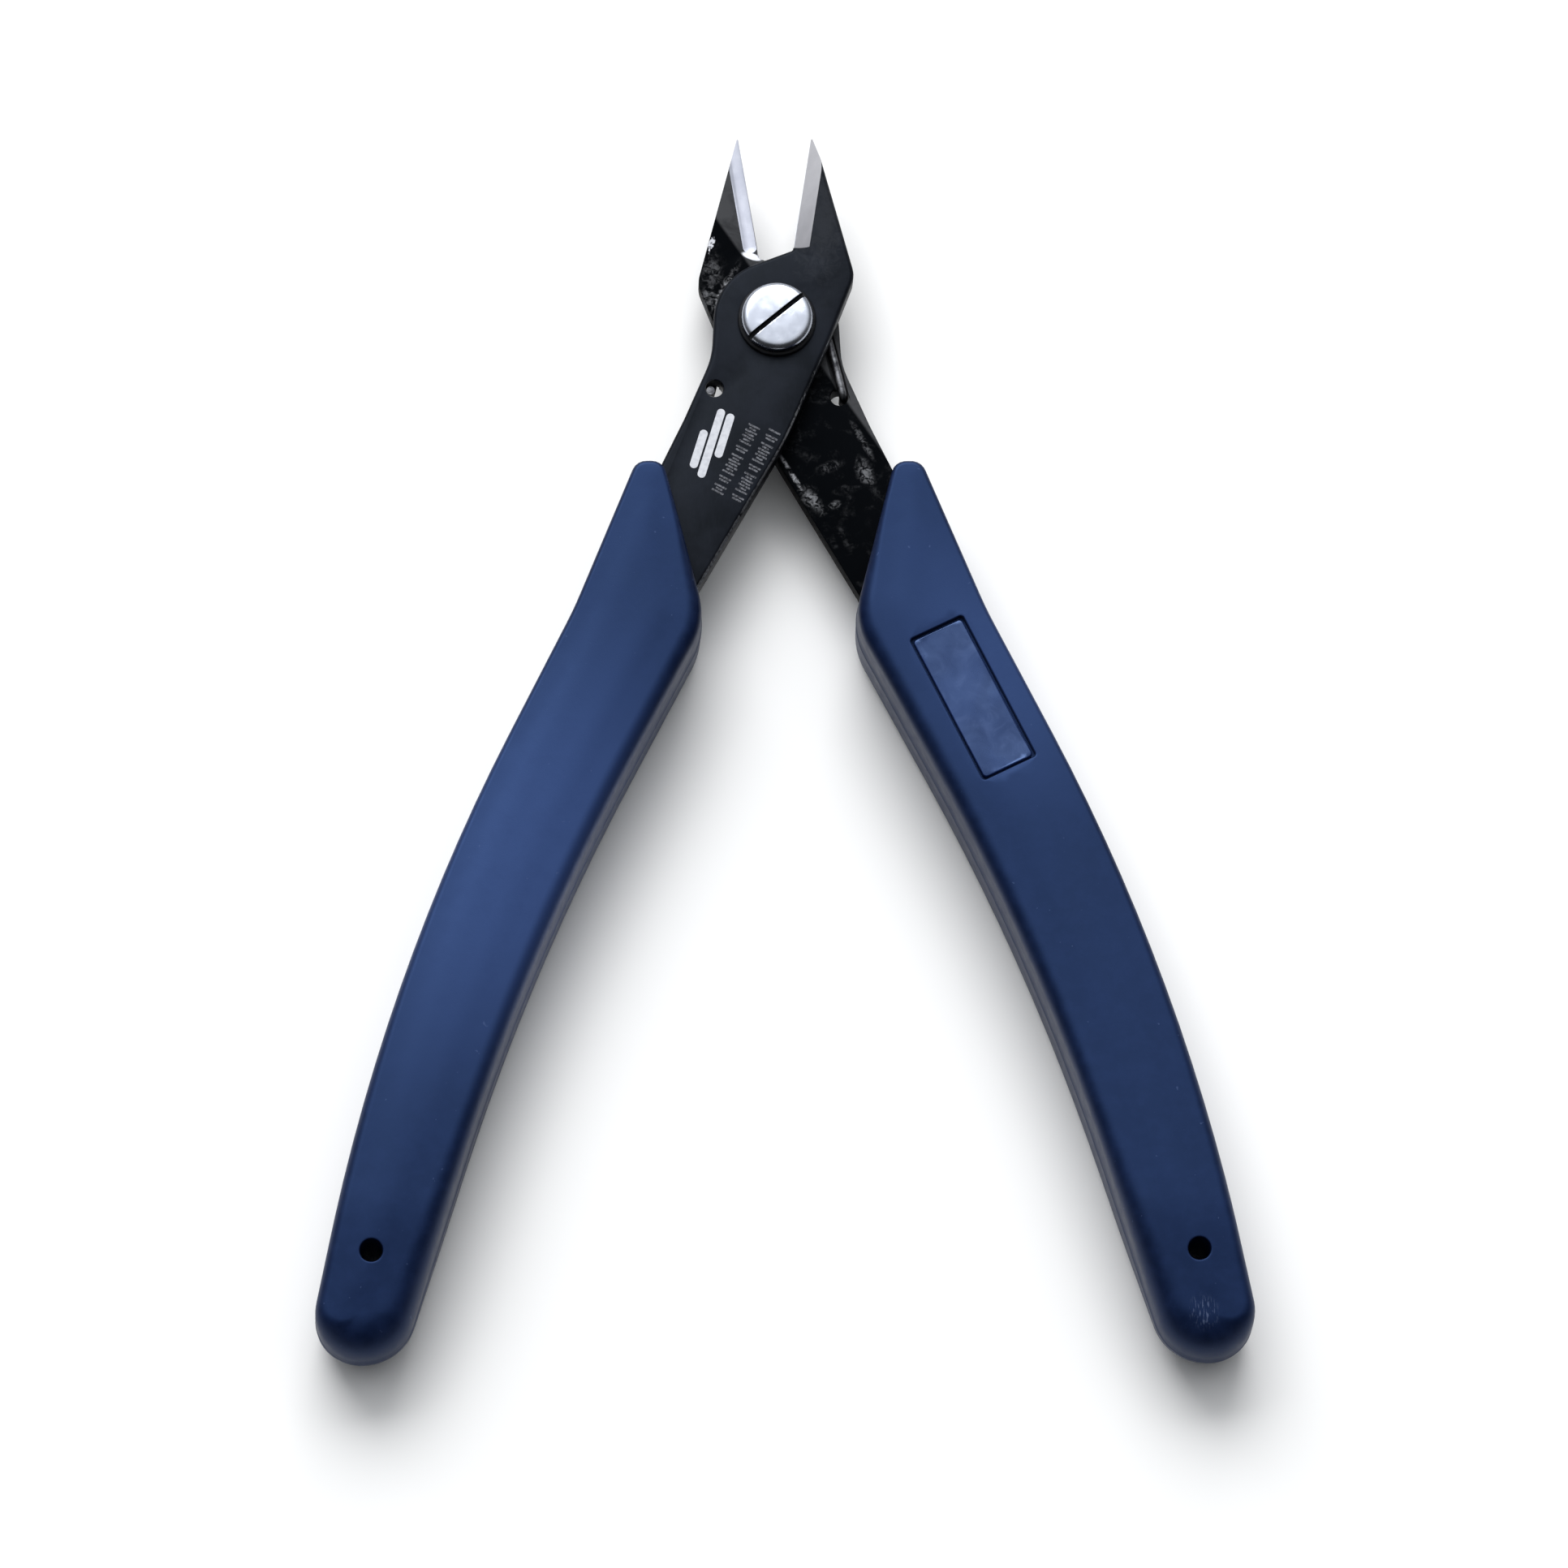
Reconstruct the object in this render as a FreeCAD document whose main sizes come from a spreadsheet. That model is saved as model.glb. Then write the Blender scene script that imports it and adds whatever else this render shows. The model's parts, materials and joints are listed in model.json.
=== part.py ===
import FreeCAD, Part
import math
import os
import Sketcher

# Flush cutter: two identical steel stampings, one turned over, on one slotted pivot screw.
# Millimetres. Row frame: +Z up, +Y from the handles to the tips, the tool lies on its grips.
# Every piece is drawn about the pivot, at the level where the two stampings meet, and its
# Placement then lifts it to pivot_y and mid_level. The tool is drawn at rest, sprung open.

doc = FreeCAD.newDocument("flush_cutter")

DIMENSIONS = {
    # where the pivot stands in the row frame
    "pivot_y": 41.1,
    "mid_level": 5.5,
    # stampings
    "plate_thickness": 2.4,
    "half_gap": 0.03,
    "bore_radius": 2.25,
    "thread_radius": 2.0,
    "spring_hole_x": 6.0,
    "spring_hole_y": 6.95,
    "spring_hole_radius": 0.85,
    "bevel_width": 1.55,
    "bevel_length": 16.0,
    "hollow_depth": 0.1,
    "hollow_width": 1.35,
    "relief_depth": 0.45,
    "relief_inner": 4.1,
    "relief_outer": 5.1,
    # pivot screw and washer
    "head_radius": 3.45,
    "head_height": 1.2,
    "head_chamfer": 0.45,
    "slot_width": 0.5,
    "slot_depth": 0.75,
    "slot_turn": 40.0,
    "shoulder_radius": 2.2,
    "stake_height": 0.3,
    "washer_radius": 3.75,
    "washer_bore": 2.25,
    "washer_thickness": 0.3,
    "washer_gap": 0.05,
    # return spring
    "wire_radius": 0.4,
    "spring_radius": 4.6,
    "hook_length": 1.8,
    "hook_bend": 0.55,
    "hook_offset": 0.38,
    # grips
    "grip_half": 5.5,
    "grip_round": 1.4,
    "lanyard_x": 38.0,
    "lanyard_y": 91.5,
    "lanyard_radius": 1.05,
    # label plate in the right grip
    "label_x": 18.0,
    "label_y": 38.7,
    "label_turn": 26.0,
    "label_width": 5.4,
    "label_length": 15.2,
    "label_thickness": 0.6,
    "label_pocket": 0.9,
    "label_gap": 0.1,
}

# Outlines in the opened pose, pivot at the origin: corners as (x, y, rounding radius).
# The front stamping has its jaw on the right and its handle on the left.
CUTTING_EDGE_FOOT = (1.6, 7.2)
TIP = (3.58, 19.75)
LEVER_OUTLINE = [
    (TIP[0], TIP[1], 0.08),
    (7.55, 4.6, 2.6),
    (5.0, -2.0, 6.0),
    (0.85, -12.0, 40.0),
    (-7.6, -26.8, 8.0),
    (-14.0, -40.0, 60.0),
    (-24.0, -60.0, 90.0),
    (-32.8, -87.0, 2.4),
    (-38.9, -87.0, 2.4),
    (-30.9, -60.0, 90.0),
    (-21.8, -40.0, 60.0),
    (-12.0, -16.4, 12.0),
    (-8.9, -9.9, 20.0),
    (-6.25, -3.7, 8.0),
    (-5.84, 4.30, 6.15),
    (CUTTING_EDGE_FOOT[0], CUTTING_EDGE_FOOT[1], 0.3),
]
GRIP_OUTLINE = [
    (-10.9, -15.0, 1.5),
    (-13.6, -15.0, 1.5),
    (-19.55, -29.8, 40.0),
    (-36.5, -64.2, 195.0),
    (-44.2, -101.2, 4.2),
    (-35.2, -101.2, 5.0),
    (-23.6, -63.1, 230.0),
    (-6.85, -30.7, 7.0),
]
# Where the far leg of the spring swings under a stamping as the tool closes.
LEG_SWEEP = [
    (4.6, 1.6, 0.3),
    (8.6, -4.5, 0.3),
    (8.0, -9.4, 0.3),
    (2.0, -10.0, 0.6),
    (3.5, -2.2, 0.6),
]

sheet = doc.addObject("Spreadsheet::Sheet", "dims")
for row, (alias, number) in enumerate(DIMENSIONS.items(), start=1):
    sheet.set("A%d" % row, alias)
    sheet.set("B%d" % row, str(number))
    sheet.setAlias("B%d" % row, alias)
doc.recompute()


def dim(alias):
    return float(sheet.get(alias))


# ---------------------------------------------------------------- sketch helpers
def origin_plane(body, role):
    for feature in body.Origin.OriginFeatures:
        if feature.Role == role:
            return feature
    raise ValueError("no origin plane " + role)


def new_sketch(body, name, role="XY_Plane", height=None):
    """A sketch on one of the body's own planes, lifted by an expression of sheet cells."""
    sketch = body.newObject("Sketcher::SketchObject", name)
    sketch.AttachmentSupport = [(origin_plane(body, role), "")]
    sketch.MapMode = "FlatFace"
    if height:
        sketch.setExpression("AttachmentOffset.Base.z", height)
    return sketch


def rounded_edges(corners):
    """Lines and tangent arcs round a closed polygon of (x, y, radius) corners."""
    points = [FreeCAD.Vector(x, y, 0) for x, y, radius in corners]
    count = len(corners)
    tangents = []
    arcs = []
    for i, (x, y, radius) in enumerate(corners):
        corner = points[i]
        before = (points[i - 1] - corner).normalize()
        after = (points[(i + 1) % count] - corner).normalize()
        half_angle = before.getAngle(after) / 2
        reach = radius / math.tan(half_angle)
        start = corner + before * reach
        end = corner + after * reach
        toward_centre = (before + after).normalize()
        middle = corner + toward_centre * (radius / math.sin(half_angle) - radius)
        tangents.append((start, end))
        arcs.append(Part.Arc(start, middle, end))
    edges = []
    for i in range(count):
        edges.append(arcs[i])
        edges.append(Part.LineSegment(tangents[i][1], tangents[(i + 1) % count][0]))
    return edges


def draw_outline(sketch, corners):
    edges = rounded_edges(corners)
    first = sketch.GeometryCount
    for edge in edges:
        sketch.addGeometry(edge, False)
    count = len(edges)
    for i in range(count):
        this, following = first + i, first + (i + 1) % count
        this_end = nearest_end(sketch, this, following)
        following_start = nearest_end(sketch, following, this)
        sketch.addConstraint(Sketcher.Constraint("Coincident", this, this_end, following, following_start))


def nearest_end(sketch, edge, other):
    """The end (1 or 2) of one sketch edge that lies on an end of another."""
    gaps = {}
    for end in (1, 2):
        for other_end in (1, 2):
            gap = sketch.getPoint(edge, end) - sketch.getPoint(other, other_end)
            gaps[gap.Length, end] = end
    return gaps[min(gaps)]


def draw_circle(sketch, radius, centre_x=None, centre_y=None, sign_x=1, sign_y=1):
    """A circle whose radius, and centre if it isn't the origin, follow the sheet."""
    centre = FreeCAD.Vector(0, 0, 0)
    if centre_x:
        centre = FreeCAD.Vector(sign_x * dim(centre_x), sign_y * dim(centre_y), 0)
    circle = sketch.addGeometry(Part.Circle(centre, FreeCAD.Vector(0, 0, 1), dim(radius)), False)
    size = sketch.addConstraint(Sketcher.Constraint("Radius", circle, dim(radius)))
    sketch.setExpression("Constraints[%d]" % size, "dims." + radius)
    if not centre_x:
        sketch.addConstraint(Sketcher.Constraint("Coincident", circle, 3, -1, 1))
        return
    for direction, alias, sign in (("DistanceX", centre_x, sign_x), ("DistanceY", centre_y, sign_y)):
        place = sketch.addConstraint(Sketcher.Constraint(direction, -1, 1, circle, 3, sign * dim(alias)))
        sketch.setExpression("Constraints[%d]" % place, "%d * dims.%s" % (sign, alias))


def draw_rectangle(sketch, width, length, turn=0.0, centre=(0.0, 0.0)):
    """A rectangle about a centre, its length along Y before it is turned."""
    spin = FreeCAD.Rotation(FreeCAD.Vector(0, 0, 1), turn)
    middle = FreeCAD.Vector(centre[0], centre[1], 0)
    signs = [(-1, -1), (1, -1), (1, 1), (-1, 1)]
    corners = [middle + spin.multVec(FreeCAD.Vector(i * width / 2, j * length / 2, 0)) for i, j in signs]
    for i, corner in enumerate(corners):
        sketch.addGeometry(Part.LineSegment(corner, corners[(i + 1) % 4]), False)
    for i in range(4):
        sketch.addConstraint(Sketcher.Constraint("Coincident", i, 2, (i + 1) % 4, 1))


# ---------------------------------------------------------------- feature helpers
def new_body(name):
    body = doc.addObject("PartDesign::Body", name)
    body.Label = name
    return body


def pad(body, name, sketch, length, midplane=False):
    feature = body.newObject("PartDesign::Pad", name)
    feature.Profile = sketch
    feature.setExpression("Length", length)
    feature.Midplane = midplane
    sketch.Visibility = False
    doc.recompute()
    return feature


def pocket(body, name, sketch, length, upward=False):
    """Cut from the sketch, downward or upward, and make sure that it cut something."""
    volume = body.Shape.Volume
    feature = body.newObject("PartDesign::Pocket", name)
    feature.Profile = sketch
    feature.Reversed = upward
    feature.setExpression("Length", length)
    sketch.Visibility = False
    doc.recompute()
    if body.Shape.Volume >= volume - 1e-6:
        raise ValueError(name + " cut nothing")
    return feature


def place(piece, turned_over=False):
    """Stand a piece at the pivot; the rear half is the front half turned about Y."""
    angle = 180 if turned_over else 0
    piece.Placement = FreeCAD.Placement(
        FreeCAD.Vector(0, dim("pivot_y"), dim("mid_level")),
        FreeCAD.Rotation(FreeCAD.Vector(0, 1, 0), angle),
    )
    piece.setExpression("Placement.Base.y", "dims.pivot_y")
    piece.setExpression("Placement.Base.z", "dims.mid_level")


# ---------------------------------------------------------------- stampings
def make_lever(name, bore, turned_over):
    """One stamping. The front one has a plain bore, the rear one the screw's thread."""
    body = new_body(name)

    blank = new_sketch(body, name + "_blank", height="dims.half_gap")
    draw_outline(blank, LEVER_OUTLINE)
    draw_circle(blank, bore)
    draw_circle(blank, "spring_hole_radius", "spring_hole_x", "spring_hole_y", -1, -1)
    pad(body, name + "_plate", blank, "dims.plate_thickness")

    cut_bevel(body, name)
    cut_hollow(body, name)

    ring = new_sketch(body, name + "_ring", height="dims.half_gap")
    draw_circle(ring, "relief_outer")
    draw_circle(ring, "relief_inner")
    pocket(body, name + "_ring_relief", ring, "dims.relief_depth", upward=True)

    slot = new_sketch(body, name + "_leg", height="dims.half_gap")
    draw_outline(slot, leg_slot_outline())
    pocket(body, name + "_leg_relief", slot, "dims.relief_depth", upward=True)

    sweep = new_sketch(body, name + "_sweep", height="dims.half_gap")
    draw_outline(sweep, LEG_SWEEP)
    pocket(body, name + "_sweep_relief", sweep, "dims.relief_depth", upward=True)

    place(body, turned_over)
    return body


def leg_slot_outline():
    """The straight relief for the near leg of the spring, from the ring to its hole."""
    half_width = dim("wire_radius") + 0.2
    top_x = -dim("spring_radius")
    foot_x = -(dim("spring_hole_x") + dim("hook_offset"))
    foot_y = -(dim("spring_hole_y") + 0.3)
    return [
        (top_x - half_width, 0.4, 0.1),
        (foot_x - half_width, foot_y, 0.5),
        (foot_x + half_width, foot_y, 0.5),
        (top_x + half_width, 0.4, 0.1),
    ]


def edge_slope():
    return (TIP[0] - CUTTING_EDGE_FOOT[0]) / (TIP[1] - CUTTING_EDGE_FOOT[1])


def cut_bevel(body, name):
    """The ground bevel, from the cutting edge on the mating face up to the outer face."""
    section = new_sketch(body, name + "_bevel_section", role="XZ_Plane")
    section.AttachmentOffset = FreeCAD.Placement(
        FreeCAD.Vector(CUTTING_EDGE_FOOT[0], 0, -CUTTING_EDGE_FOOT[1] - 0.3), FreeCAD.Rotation()
    )
    foot = dim("half_gap")
    rise = dim("plate_thickness") * 1.2
    run = dim("bevel_width") * 1.2
    shift = 0.3 * edge_slope()
    corners = [(shift, foot), (shift + run, foot + rise), (-2.0, foot + rise), (-2.0, foot)]
    vectors = [FreeCAD.Vector(x, z, 0) for x, z in corners]
    for i, vector in enumerate(vectors):
        section.addGeometry(Part.LineSegment(vector, vectors[(i + 1) % 4]), False)
    for i in range(4):
        section.addConstraint(Sketcher.Constraint("Coincident", i, 2, (i + 1) % 4, 1))
    doc.recompute()
    volume = body.Shape.Volume
    bevel = body.newObject("PartDesign::Pocket", name + "_bevel")
    bevel.Profile = section
    bevel.UseCustomVector = True
    bevel.Direction = FreeCAD.Vector(edge_slope(), 1, 0)
    bevel.setExpression("Length", "dims.bevel_length")
    section.Visibility = False
    doc.recompute()
    if body.Shape.Volume >= volume - 1e-6:
        raise ValueError("the bevel cut nothing")


def cut_hollow(body, name):
    """The shallow hollow-ground land beside the cutting edge, on the mating face."""
    half_width = dim("hollow_width") / 2
    depth = dim("hollow_depth")
    radius = (half_width**2 + depth**2) / (2 * depth)
    along = FreeCAD.Vector(edge_slope(), 1, 0).normalize()
    across = FreeCAD.Vector(along.y, -along.x, 0)
    foot = FreeCAD.Vector(CUTTING_EDGE_FOOT[0], CUTTING_EDGE_FOOT[1], 0)
    start = foot + along * 1.3 + across * half_width
    start.z = dim("half_gap") + depth - radius
    volume = body.Shape.Volume

    wheel_path = body.newObject("PartDesign::SubtractiveCylinder", name + "_hollow")
    wheel_path.Radius = radius
    wheel_path.Height = 14.0
    wheel_path.Placement = FreeCAD.Placement(
        start, FreeCAD.Rotation(FreeCAD.Vector(0, 0, 1), along)
    )
    doc.recompute()

    run_out = body.newObject("PartDesign::SubtractiveSphere", name + "_run_out")
    run_out.Radius = radius
    run_out.Placement = FreeCAD.Placement(start, FreeCAD.Rotation())
    doc.recompute()
    if body.Shape.Volume >= volume - 1e-6:
        raise ValueError("the hollow cut nothing")


# ---------------------------------------------------------------- screw, washer, spring
def make_screw():
    body = new_body("pivot_screw")
    seat = dim("half_gap") + dim("plate_thickness") + dim("washer_gap") + dim("washer_thickness")
    top = seat + dim("head_height")
    back = -dim("half_gap") - dim("plate_thickness") - dim("stake_height")
    chamfer = dim("head_chamfer")
    profile = [
        (0, top),
        (dim("head_radius") - chamfer, top),
        (dim("head_radius"), top - chamfer),
        (dim("head_radius"), seat),
        (dim("shoulder_radius"), seat),
        (dim("shoulder_radius"), -dim("half_gap")),
        (dim("thread_radius"), -dim("half_gap")),
        (dim("thread_radius"), back + 0.2),
        (dim("thread_radius") - 0.2, back),
        (0, back),
    ]
    sketch = new_sketch(body, "screw_profile", role="XZ_Plane")
    vectors = [FreeCAD.Vector(x, z, 0) for x, z in profile]
    count = len(vectors)
    for i, vector in enumerate(vectors):
        sketch.addGeometry(Part.LineSegment(vector, vectors[(i + 1) % count]), False)
    for i in range(count):
        sketch.addConstraint(Sketcher.Constraint("Coincident", i, 2, (i + 1) % count, 1))
    turned = body.newObject("PartDesign::Revolution", "screw_turned")
    turned.Profile = sketch
    turned.ReferenceAxis = (sketch, ["V_Axis"])
    turned.Angle = 360
    sketch.Visibility = False
    doc.recompute()

    slot = new_sketch(body, "screw_slot_sketch")
    slot.AttachmentOffset = FreeCAD.Placement(FreeCAD.Vector(0, 0, top), FreeCAD.Rotation())
    draw_rectangle(slot, 3 * dim("head_radius"), dim("slot_width"), dim("slot_turn"))
    pocket(body, "screw_slot", slot, "dims.slot_depth")
    place(body)
    return body


def make_washer():
    body = new_body("pivot_washer")
    ring = new_sketch(
        body, "washer_ring", height="dims.half_gap + dims.plate_thickness + dims.washer_gap"
    )
    draw_circle(ring, "washer_radius")
    draw_circle(ring, "washer_bore")
    pad(body, "washer_disc", ring, "dims.washer_thickness")
    place(body)
    return body


def make_spring():
    """Round wire over the pivot, a leg down each side, and a hook into each small hole."""
    hook_x = dim("spring_hole_x") + dim("hook_offset")
    hook_y = -dim("spring_hole_y")
    hook = dim("hook_length")
    bend = dim("hook_bend")
    crown = dim("spring_radius")
    left_foot = FreeCAD.Vector(-hook_x, hook_y, 0)
    right_foot = FreeCAD.Vector(hook_x, hook_y, 0)
    left_shoulder = crown_tangent(left_foot, crown)
    right_shoulder = FreeCAD.Vector(-left_shoulder.x, left_shoulder.y, 0)
    left_leg = (left_shoulder - left_foot).normalize()
    right_leg = (right_shoulder - right_foot).normalize()
    up = FreeCAD.Vector(0, 0, 1)

    edges = [
        Part.makeLine(left_foot + up * hook, left_foot + up * bend),
        bend_arc(left_foot, up, left_leg, bend),
        Part.makeLine(left_foot + left_leg * bend, left_shoulder),
        Part.Arc(left_shoulder, FreeCAD.Vector(0, crown, 0), right_shoulder).toShape(),
        Part.makeLine(right_shoulder, right_foot + right_leg * bend),
        bend_arc(right_foot, right_leg, -up, bend),
        Part.makeLine(right_foot - up * bend, right_foot - up * hook),
    ]
    path = Part.Wire(edges)
    section = Part.Wire(Part.makeCircle(dim("wire_radius"), left_foot + up * hook, up))
    solid = path.makePipeShell([section], True, False)
    spring = doc.addObject("Part::Feature", "return_spring")
    spring.Label = "return_spring"
    spring.Shape = solid
    place(spring)
    expected = math.pi * dim("wire_radius") ** 2 * path.Length
    if abs(abs(solid.Volume) / expected - 1) > 0.02:
        raise ValueError("the spring's wire isn't its section times its length")
    return spring


def crown_tangent(foot, radius):
    """Where a leg from the left foot meets the crown arc about the pivot."""
    bearing = math.atan2(foot.y, foot.x)
    turn = math.acos(radius / foot.Length)
    angle = bearing - turn
    return FreeCAD.Vector(radius * math.cos(angle), radius * math.sin(angle), 0)


def bend_arc(corner, first, second, radius):
    """A quarter bend at a square corner, between two unit directions that leave it."""
    start = corner + first * radius
    end = corner + second * radius
    centre = corner + (first + second) * radius
    middle = centre - (first + second).normalize() * radius
    return Part.Arc(start, middle, end).toShape()


# ---------------------------------------------------------------- grips and label plate
def make_grip(name, turned_over, has_label):
    """A moulded grip round a stamping's tang, with a lanyard hole beyond the tang's end."""
    body = new_body(name)
    outline = new_sketch(body, name + "_outline")
    draw_outline(outline, GRIP_OUTLINE)
    block = pad(body, name + "_block", outline, "2 * dims.grip_half", midplane=True)

    rounding = body.newObject("PartDesign::Fillet", name + "_rounding")
    rounding.Base = (block, rim_edges(block.Shape))
    rounding.setExpression("Radius", "dims.grip_round")
    doc.recompute()

    tang = new_sketch(body, name + "_tang", height="dims.half_gap")
    draw_outline(tang, LEVER_OUTLINE)
    pocket(body, name + "_tang_pocket", tang, "dims.plate_thickness", upward=True)

    lanyard = new_sketch(body, name + "_lanyard", height="-dims.grip_half")
    draw_circle(lanyard, "lanyard_radius", "lanyard_x", "lanyard_y", -1, -1)
    pocket(body, name + "_lanyard_hole", lanyard, "2 * dims.grip_half", upward=True)

    if has_label:
        recess = new_sketch(body, name + "_label", height="-dims.grip_half")
        draw_rectangle(
            recess,
            dim("label_width") + 2 * dim("label_gap"),
            dim("label_length") + 2 * dim("label_gap"),
            -dim("label_turn"),
            (-dim("label_x"), -dim("label_y")),
        )
        pocket(body, name + "_label_pocket", recess, "dims.label_pocket", upward=True)

    place(body, turned_over)
    return body


def rim_edges(shape):
    """Names of the edges that lie flat on the top or the bottom of a block."""
    rim = dim("grip_half") - 0.01
    names = []
    for number, edge in enumerate(shape.Edges, start=1):
        box = edge.BoundBox
        if box.ZMin > rim or box.ZMax < -rim:
            names.append("Edge%d" % number)
    return names


def make_label_plate():
    body = new_body("label_plate")
    sketch = new_sketch(body, "label_outline")
    draw_rectangle(sketch, dim("label_width"), dim("label_length"))
    pad(body, "label_slab", sketch, "dims.label_thickness")
    body.Placement = FreeCAD.Placement(
        FreeCAD.Vector(dim("label_x"), dim("pivot_y") - dim("label_y"), 0),
        FreeCAD.Rotation(FreeCAD.Vector(0, 0, 1), dim("label_turn")),
    )
    body.setExpression("Placement.Base.x", "dims.label_x")
    body.setExpression("Placement.Base.y", "dims.pivot_y - dims.label_y")
    body.setExpression("Placement.Base.z", "dims.mid_level + dims.grip_half - dims.label_pocket")
    return body


pieces = [
    make_lever("front_lever", "bore_radius", turned_over=False),
    make_lever("rear_lever", "thread_radius", turned_over=True),
    make_screw(),
    make_washer(),
    make_spring(),
    make_grip("left_grip", turned_over=False, has_label=False),
    make_grip("right_grip", turned_over=True, has_label=True),
    make_label_plate(),
]
doc.recompute()

for item in doc.Objects:
    if "Invalid" in item.State or "Error" in item.State:
        raise ValueError(item.Label + " failed: " + str(item.State))
os.makedirs("parts", exist_ok=True)
for piece in pieces:
    shape = piece.Shape
    if shape.isNull() or not shape.isValid() or len(shape.Solids) != 1:
        raise ValueError(piece.Label + " has no valid single solid")
    shape.exportStep("parts/" + piece.Label + ".step")
    box = shape.BoundBox
    print(
        "%-14s %9.1f mm3  x %.2f..%.2f  y %.2f..%.2f  z %.2f..%.2f"
        % (piece.Label, shape.Volume, box.XMin, box.XMax, box.YMin, box.YMax, box.ZMin, box.ZMax)
    )
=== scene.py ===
import json
import math

import bmesh
import bpy
import numpy as np
from mathutils import Matrix, Vector, noise
from mathutils.geometry import delaunay_2d_cdt
from mathutils.kdtree import KDTree


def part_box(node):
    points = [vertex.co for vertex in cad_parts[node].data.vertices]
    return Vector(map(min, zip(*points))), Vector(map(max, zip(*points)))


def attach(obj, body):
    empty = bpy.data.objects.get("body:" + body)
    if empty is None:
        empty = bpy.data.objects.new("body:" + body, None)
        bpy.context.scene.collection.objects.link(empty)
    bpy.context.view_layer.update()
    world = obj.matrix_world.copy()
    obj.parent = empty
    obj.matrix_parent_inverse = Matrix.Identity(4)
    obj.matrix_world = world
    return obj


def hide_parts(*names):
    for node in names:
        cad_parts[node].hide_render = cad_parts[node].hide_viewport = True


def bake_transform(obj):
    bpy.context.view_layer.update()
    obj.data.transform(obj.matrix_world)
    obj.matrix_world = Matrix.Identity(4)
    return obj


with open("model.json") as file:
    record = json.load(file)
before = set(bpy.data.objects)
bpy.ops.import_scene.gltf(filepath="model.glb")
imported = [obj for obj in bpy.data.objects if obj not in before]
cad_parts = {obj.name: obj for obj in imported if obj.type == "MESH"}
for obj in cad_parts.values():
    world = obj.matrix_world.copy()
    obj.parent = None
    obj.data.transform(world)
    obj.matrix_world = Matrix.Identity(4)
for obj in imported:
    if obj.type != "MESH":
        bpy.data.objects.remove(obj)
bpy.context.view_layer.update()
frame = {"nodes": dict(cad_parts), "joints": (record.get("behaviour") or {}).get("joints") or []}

MM = 0.001
PIVOT = Vector(frame["joints"][0]["pos_m"])
MID_LEVEL = PIVOT.z


# ---------------------------------------------------------------- mesh helpers
def new_object(name, mesh, material=None):
    piece = bpy.data.objects.new(name, mesh)
    bpy.context.scene.collection.objects.link(piece)
    if material:
        mesh.materials.append(material)
    return piece


def mesh_from(name, points, faces):
    mesh = bpy.data.meshes.new(name)
    mesh.from_pydata([tuple(p) for p in points], [], faces)
    mesh.validate()
    tidy_normals(mesh)
    return mesh


def tidy_normals(mesh):
    """Weld what coincides and turn every face outward."""
    bm = bmesh.new()
    bm.from_mesh(mesh)
    bmesh.ops.remove_doubles(bm, verts=bm.verts, dist=0.002 * MM)
    bmesh.ops.recalc_face_normals(bm, faces=bm.faces)
    bm.to_mesh(mesh)
    bm.free()


def smooth_by_angle(piece, degrees):
    piece.data.shade_smooth()
    piece.data.set_sharp_from_angle(angle=math.radians(degrees))


def apply_modifiers(piece):
    """Replace a piece's mesh with what its modifiers make of it."""
    graph = bpy.context.evaluated_depsgraph_get()
    made = bpy.data.meshes.new_from_object(piece.evaluated_get(graph))
    piece.modifiers.clear()
    piece.data = made


def cut_away(piece, tool):
    """Subtract a tool; the cut faces keep the tool's own material."""
    modifier = piece.modifiers.new("cut", "BOOLEAN")
    modifier.operation = "DIFFERENCE"
    modifier.solver = "EXACT"
    modifier.material_mode = "TRANSFER"
    modifier.object = tool
    apply_modifiers(piece)
    bpy.data.objects.remove(tool)


def cad_copy(name, node):
    """A welded copy of a CAD node's mesh, with its flat stretches made whole faces."""
    source = frame["nodes"][node].data
    bm = bmesh.new()
    vertices = [bm.verts.new(v.co) for v in source.vertices]
    for polygon in source.polygons:
        bm.faces.new([vertices[i] for i in polygon.vertices])
    bmesh.ops.remove_doubles(bm, verts=bm.verts, dist=0.001 * MM)
    bmesh.ops.dissolve_limit(
        bm, angle_limit=math.radians(0.6), verts=bm.verts, edges=bm.edges, delimit=set()
    )
    bmesh.ops.recalc_face_normals(bm, faces=bm.faces)
    mesh = bpy.data.meshes.new(name)
    bm.to_mesh(mesh)
    bm.free()
    return new_object(name, mesh)


def vertex_place(vertex):
    return tuple(vertex.co)


def edge_place(edge):
    """Where an edge is: a set has no order of its own, so a loop's start is chosen by place."""
    return tuple(sorted(vertex_place(vertex) for vertex in edge.verts))


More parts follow.
